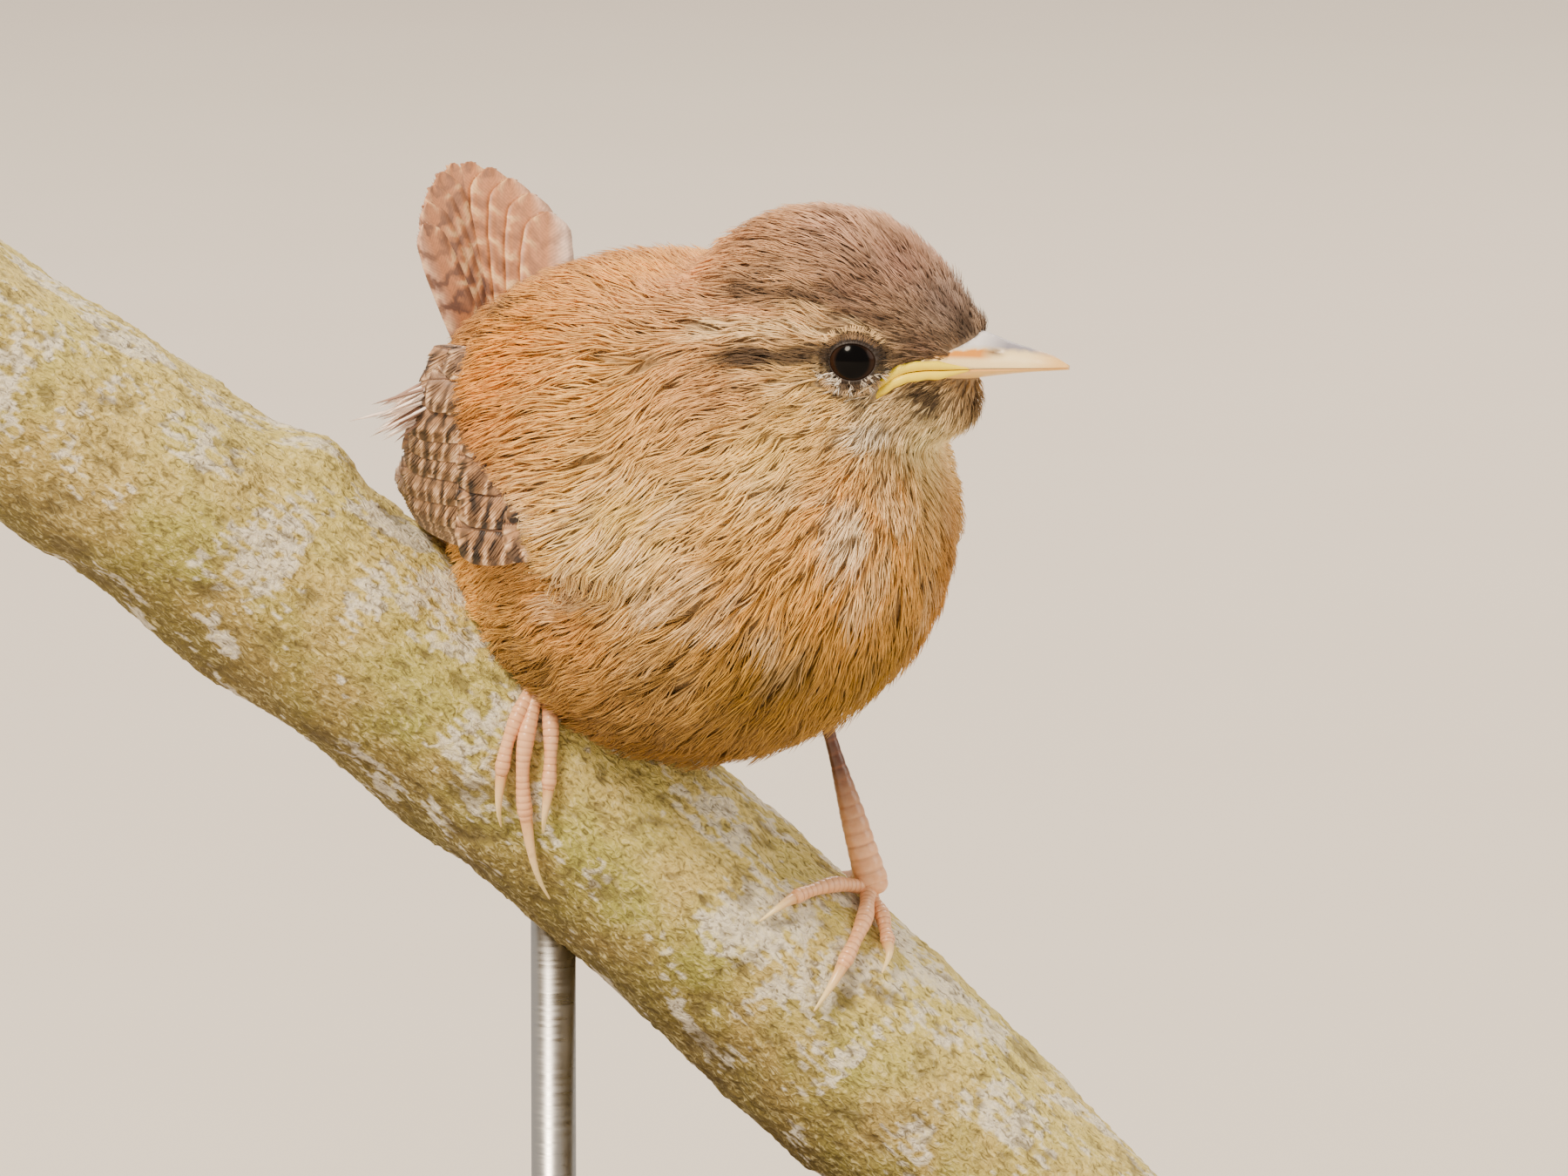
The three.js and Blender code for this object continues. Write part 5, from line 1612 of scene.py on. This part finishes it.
def claw_horn():
    """The claws, thin curved horn: amber at the base and paler, clearer at the tip."""
    made, add = material("horn_claw_polished")
    share = add("ShaderNodeAttribute", attribute_name="length_share").outputs["Fac"]
    place = add("ShaderNodeTexCoord").outputs["Object"]
    noise = add("ShaderNodeTexNoise", {"Vector": place}, {"Scale": per_mm(0.8), "Detail": 3}).outputs["Fac"]
    clear = add("ShaderNodeMapRange", {0: share}, {1: 0.05, 2: 0.75, 3: 0, 4: 1}).outputs[0]
    colours = {6: linear("#d09460"), 7: linear("#fbe2a2")}
    base = add("ShaderNodeMix", {0: clear}, colours, data_type="RGBA").outputs[2]
    dark = add("ShaderNodeMapRange", {0: noise}, {1: 0.55, 2: 0.75, 3: 0, 4: 0.35}).outputs[0]
    base = add("ShaderNodeMix", {0: dark, 6: base}, {7: linear("#8a5b34")}, data_type="RGBA").outputs[2]
    return finished(made, {"Base Color": base}, {"Roughness": 0.32, "IOR": 1.56})


def lichened_bark():
    """Living bark, weathered: olive and fibrous, with a powdery white crust of lichen on its upper side,
    painted light on its top and the fibres' crests, and painted shade below and in its hollows.
    """
    made, add = material("bark_weathered_lichened")
    bark = add("ShaderNodeAttribute", attribute_name="bark").outputs["Vector"]
    top, lichen, relief = add("ShaderNodeSeparateXYZ", {0: bark}).outputs
    grain = add("ShaderNodeAttribute", attribute_name="grain").outputs["Vector"]
    fibre_place = add("ShaderNodeMapping", {0: grain}, {"Scale": (0.8, 1.5, 1.5)}).outputs[0]
    fibre_sizes = {"Scale": 1.5, "Detail": 8, "Distortion": 1.4}
    fibre = add("ShaderNodeTexNoise", {"Vector": fibre_place}, fibre_sizes).outputs["Fac"]
    place = add("ShaderNodeTexCoord").outputs["Object"]
    patch = add("ShaderNodeTexNoise", {"Vector": place}, {"Scale": per_mm(7), "Detail": 4}).outputs["Fac"]
    grit = add("ShaderNodeTexNoise", {"Vector": place}, {"Scale": per_mm(0.5), "Detail": 4}).outputs["Fac"]
    green = add("ShaderNodeMapRange", {0: patch}, {1: 0.4, 2: 0.62, 3: 0, 4: 1}).outputs[0]
    colours = {6: linear("#b39c58"), 7: linear("#9f9a45")}
    base = add("ShaderNodeMix", {0: green}, colours, data_type="RGBA").outputs[2]
    ragged = add("ShaderNodeMath", {0: grit, 2: lichen}, {1: 0.9}, operation="MULTIPLY_ADD").outputs[0]
    layers = (
        (top, 0.35, 0.95, 0.7, "#dcc870"),  # painted light: paler on its upper side, where the light falls
        (top, 0.4, 0.1, 0.85, "#6a5a26"),  # painted shade: darker on its underside
        (ragged, 0.8, 1.4, 0.8, "#e6dfcd"),  # lichen
        (fibre, 0.52, 0.66, 0.55, "#e3d59a"),  # painted highlight on the fibres' crests
        (fibre, 0.48, 0.34, 0.75, "#5d4f28"),  # painted shade in the lines between them
        (relief, 0.42, 0.1, 0.6, "#5a4b28"),  # painted shade in the hollows and cracks
    )
    for value, none, full, strength, colour in layers:
        share = add("ShaderNodeMapRange", {0: value}, {1: none, 2: full, 3: 0, 4: strength}).outputs[0]
        base = add("ShaderNodeMix", {0: share, 6: base}, {7: linear(colour)}, data_type="RGBA").outputs[2]
    height = add("ShaderNodeMath", {0: grit, 2: fibre}, {1: 0.5}, operation="MULTIPLY_ADD").outputs[0]
    bump = add("ShaderNodeBump", {"Height": height}, {"Strength": 0.9, "Distance": 0.5 * MM}).outputs[0]
    return finished(made, {"Base Color": base, "Normal": bump}, {"Roughness": 0.88})


def sawn_wood():
    """The branch's sawn ends: pale dry wood with fine growth rings."""
    made, add = material("greenwood_sawn_dry")
    far = add("ShaderNodeAttribute", attribute_name="far").outputs["Fac"]
    place = add("ShaderNodeTexCoord").outputs["Object"]
    noise = add("ShaderNodeTexNoise", {"Vector": place}, {"Scale": per_mm(2), "Detail": 4}).outputs["Fac"]
    ring = add("ShaderNodeMath", {0: noise, 2: far}, {1: 0.9}, operation="MULTIPLY_ADD").outputs[0]
    ring = add("ShaderNodeMath", {0: ring}, {1: 2 * math.pi / GROWTH_RING}, operation="MULTIPLY").outputs[0]
    ring = add("ShaderNodeMath", {0: ring}, operation="SINE").outputs[0]
    late = add("ShaderNodeMapRange", {0: ring}, {1: 0.2, 2: 1, 3: 0, 4: 0.7}).outputs[0]
    colours = {6: linear("#d9bf92"), 7: linear("#a9814f")}
    base = add("ShaderNodeMix", {0: late}, colours, data_type="RGBA").outputs[2]
    bump = add("ShaderNodeBump", {"Height": noise}, {"Strength": 0.4, "Distance": 0.2 * MM}).outputs[0]
    return finished(made, {"Base Color": base, "Normal": bump}, {"Roughness": 0.8})


def stained_beech():
    """The base: beech, stained dark and lacquered, with long fine grain under a satin film."""
    made, add = material("beech_stained_lacquered")
    place = add("ShaderNodeTexCoord").outputs["Object"]
    long = add("ShaderNodeMapping", {0: place}, {"Scale": (0.12, 1, 1)}).outputs[0]
    grain = add("ShaderNodeTexNoise", {"Vector": long}, {"Scale": per_mm(1.6), "Detail": 6}).outputs["Fac"]
    broad = add("ShaderNodeTexNoise", {"Vector": long}, {"Scale": per_mm(9), "Detail": 3}).outputs["Fac"]
    dark = add("ShaderNodeMapRange", {0: grain}, {1: 0.35, 2: 0.65, 3: 0, 4: 1}).outputs[0]
    colours = {6: linear("#2c1c12"), 7: linear("#56392a")}
    base = add("ShaderNodeMix", {0: dark}, colours, data_type="RGBA").outputs[2]
    tint = add("ShaderNodeMapRange", {0: broad}, {1: 0.35, 2: 0.65, 3: 0, 4: 0.5}).outputs[0]
    base = add("ShaderNodeMix", {0: tint, 6: base}, {7: linear("#3f2719")}, data_type="RGBA").outputs[2]
    bump = add("ShaderNodeBump", {"Height": grain}, {"Strength": 0.15, "Distance": 0.1 * MM}).outputs[0]
    return finished(made, {"Base Color": base, "Normal": bump}, {"Roughness": 0.35, "IOR": 1.5})


def brushed_steel():
    """The rod: stainless steel, brushed round, with fine rings in its dull gloss."""
    made, add = material("stainless_steel_brushed")
    place = add("ShaderNodeTexCoord").outputs["Object"]
    flat = add("ShaderNodeMapping", {0: place}, {"Scale": (0.05, 0.05, 1)}).outputs[0]
    rings = add("ShaderNodeTexNoise", {"Vector": flat}, {"Scale": per_mm(0.25), "Detail": 3}).outputs["Fac"]
    rough = add("ShaderNodeMapRange", {0: rings}, {1: 0.3, 2: 0.7, 3: 0.26, 4: 0.42}).outputs[0]
    bump = add("ShaderNodeBump", {"Height": rings}, {"Strength": 0.1, "Distance": 0.05 * MM}).outputs[0]
    looks = {"Base Color": linear("#b9b6b2"), "Metallic": 1}
    return finished(made, {"Roughness": rough, "Normal": bump}, looks)


def pale_floor():
    """The floor: matt pale paper."""
    made, add = material("paper_matt_pale")
    place = add("ShaderNodeTexCoord").outputs["Object"]
    noise = add("ShaderNodeTexNoise", {"Vector": place}, {"Scale": per_mm(60), "Detail": 3}).outputs["Fac"]
    colours = {6: linear("#d9cfc2"), 7: linear("#ddd4c8")}
    base = add("ShaderNodeMix", {0: noise}, colours, data_type="RGBA").outputs[2]
    return finished(made, {"Base Color": base}, {"Roughness": 0.95})


# Camera, light and floor
def make_camera():
    """The photograph's view: level with the bird, a little from above, through a long lens."""
    ahead = Vector((0, math.cos(ELEVATION), -math.sin(ELEVATION)))
    up = Vector((0, math.sin(ELEVATION), math.cos(ELEVATION)))
    middle = Vector((BODY["x"], BODY["y"], BODY["z"]))
    aim = middle + Vector((1, 0, 0)) * AIM[0] + up * AIM[1]
    data = bpy.data.cameras.new("camera")
    data.sensor_width = SENSOR
    data.lens = SENSOR * DISTANCE * PHOTO_SCALE / PHOTO_WIDTH
    data.clip_start, data.clip_end = 0.05, 30
    camera = bpy.data.objects.new("camera", data)
    camera.location = (aim - ahead * DISTANCE) * MM
    camera.rotation_euler = ahead.to_track_quat("-Z", "Y").to_euler()
    bpy.context.scene.collection.objects.link(camera)
    bpy.context.scene.camera = camera


# Soft round lights: place and width in metres, power in watts, colour
LIGHTS = {
    "key": ((-0.55, -0.85, 1.15), 0.45, 39, "#ffeed8"),
    "fill": ((1.2, -0.25, 0.55), 0.9, 7, "#fff3e6"),
    "rim": ((0.25, 0.9, 0.9), 0.7, 11, "#ffeedd"),
}
LIGHT_AIM = (0.012, -0.006, 0.08)


def make_lights():
    """Three soft lights and a pale sky."""
    for name, (place, size, power, colour) in LIGHTS.items():
        data = bpy.data.lights.new(name, "AREA")
        data.shape = "DISK"
        data.size, data.energy, data.color = size, power, linear(colour)[:3]
        light = bpy.data.objects.new(name, data)
        light.location = place
        light.rotation_euler = (Vector(LIGHT_AIM) - Vector(place)).to_track_quat("-Z", "Y").to_euler()
        bpy.context.scene.collection.objects.link(light)
    world = bpy.data.worlds.new("studio")
    world.use_nodes = True
    sky = world.node_tree.nodes["Background"]
    sky.inputs["Color"].default_value = linear("#efe6da")
    sky.inputs["Strength"].default_value = 0.86
    bpy.context.scene.world = world


FLOOR = 6000  # across


def make_floor(finish):
    """A plain floor that only stages the model."""
    half = FLOOR / 2
    mesh = bpy.data.meshes.new("floor")
    corners = ((-half, -half), (half, -half), (half, half), (-half, half))
    mesh.from_pydata([(x * MM, y * MM, 0) for x, y in corners], [], [(0, 1, 2, 3)])
    mesh.materials.append(finish)
    floor = bpy.data.objects.new("floor", mesh)
    bpy.context.scene.collection.objects.link(floor)
    floor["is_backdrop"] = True


# The model
make_camera()
make_lights()
make_floor(pale_floor())

skin = skin_shape()
piece("skin", skin, down_under_coat(), ("torso", "neck", "head"), BODY_FRAME)
coat_finish = barb_keratin()
make_coat(skin, coat_finish)
shape, patch = loose_tuft()
piece("coat_tuft", shape, coat_finish, matrix=BODY_FRAME, patch=patch)

wing_finish = vane_keratin("vane_keratin_barred_dark", WING_BARS)
tail_finish = vane_keratin("vane_keratin_barred_pale", TAIL_BARS)
for side, name in ((1, "left"), (-1, "right")):
    piece(f"wing_{name}_vanes", wing_shape(side), wing_finish, (f"wing_{name}",))
piece("tail_vanes", tail_shape(), tail_finish, ("tail",), TAIL_FRAME)

piece("bill_upper_horn", bill_shape(True), bill_horn(), ("bill_upper",), HEAD_FRAME)
piece("bill_lower_horn", bill_shape(False), lower_bill_horn(), ("bill_lower",), HEAD_FRAME)
gape_finish, eye_finish, lid_finish = gape_skin(), cornea(), lid_skin()
leg_finish, claw_finish = scaled_skin(), claw_horn()
for side, name in ((1, "left"), (-1, "right")):
    piece(f"gape_{name}", gape_shape(side), gape_finish, matrix=HEAD_FRAME)
    piece(f"eyeball_{name}", eye_shape(side), eye_finish, (f"eye_{name}",), HEAD_FRAME)
    piece(f"lids_{name}", lid_shape(side), lid_finish, matrix=HEAD_FRAME)
    shape, patch = lid_feathers(side)
    piece(f"coat_lids_{name}", shape, coat_finish, matrix=BODY_FRAME, patch=patch)
    flesh, claws = leg_shapes(LEGS[name])
    piece(f"foot_{name}_skin", flesh, leg_finish, (f"leg_{name}",))
    piece(f"foot_{name}_claws", claws, claw_finish)

piece("branch_bark", perch_shape(), lichened_bark(), ("perch",))
end_finish = sawn_wood()
for share, name in ((0, "high"), (1, "low")):
    piece(f"branch_end_{name}", sawn_end(share), end_finish)
piece("plinth", base_shape(), stained_beech(), ("stand_base",))
piece("rod", rod_shape(), brushed_steel(), ("stand_rod",))

boxes = {"cad": cad_box, "visual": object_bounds()}
{key: [list(corner) for corner in box] for key, box in boxes.items()}
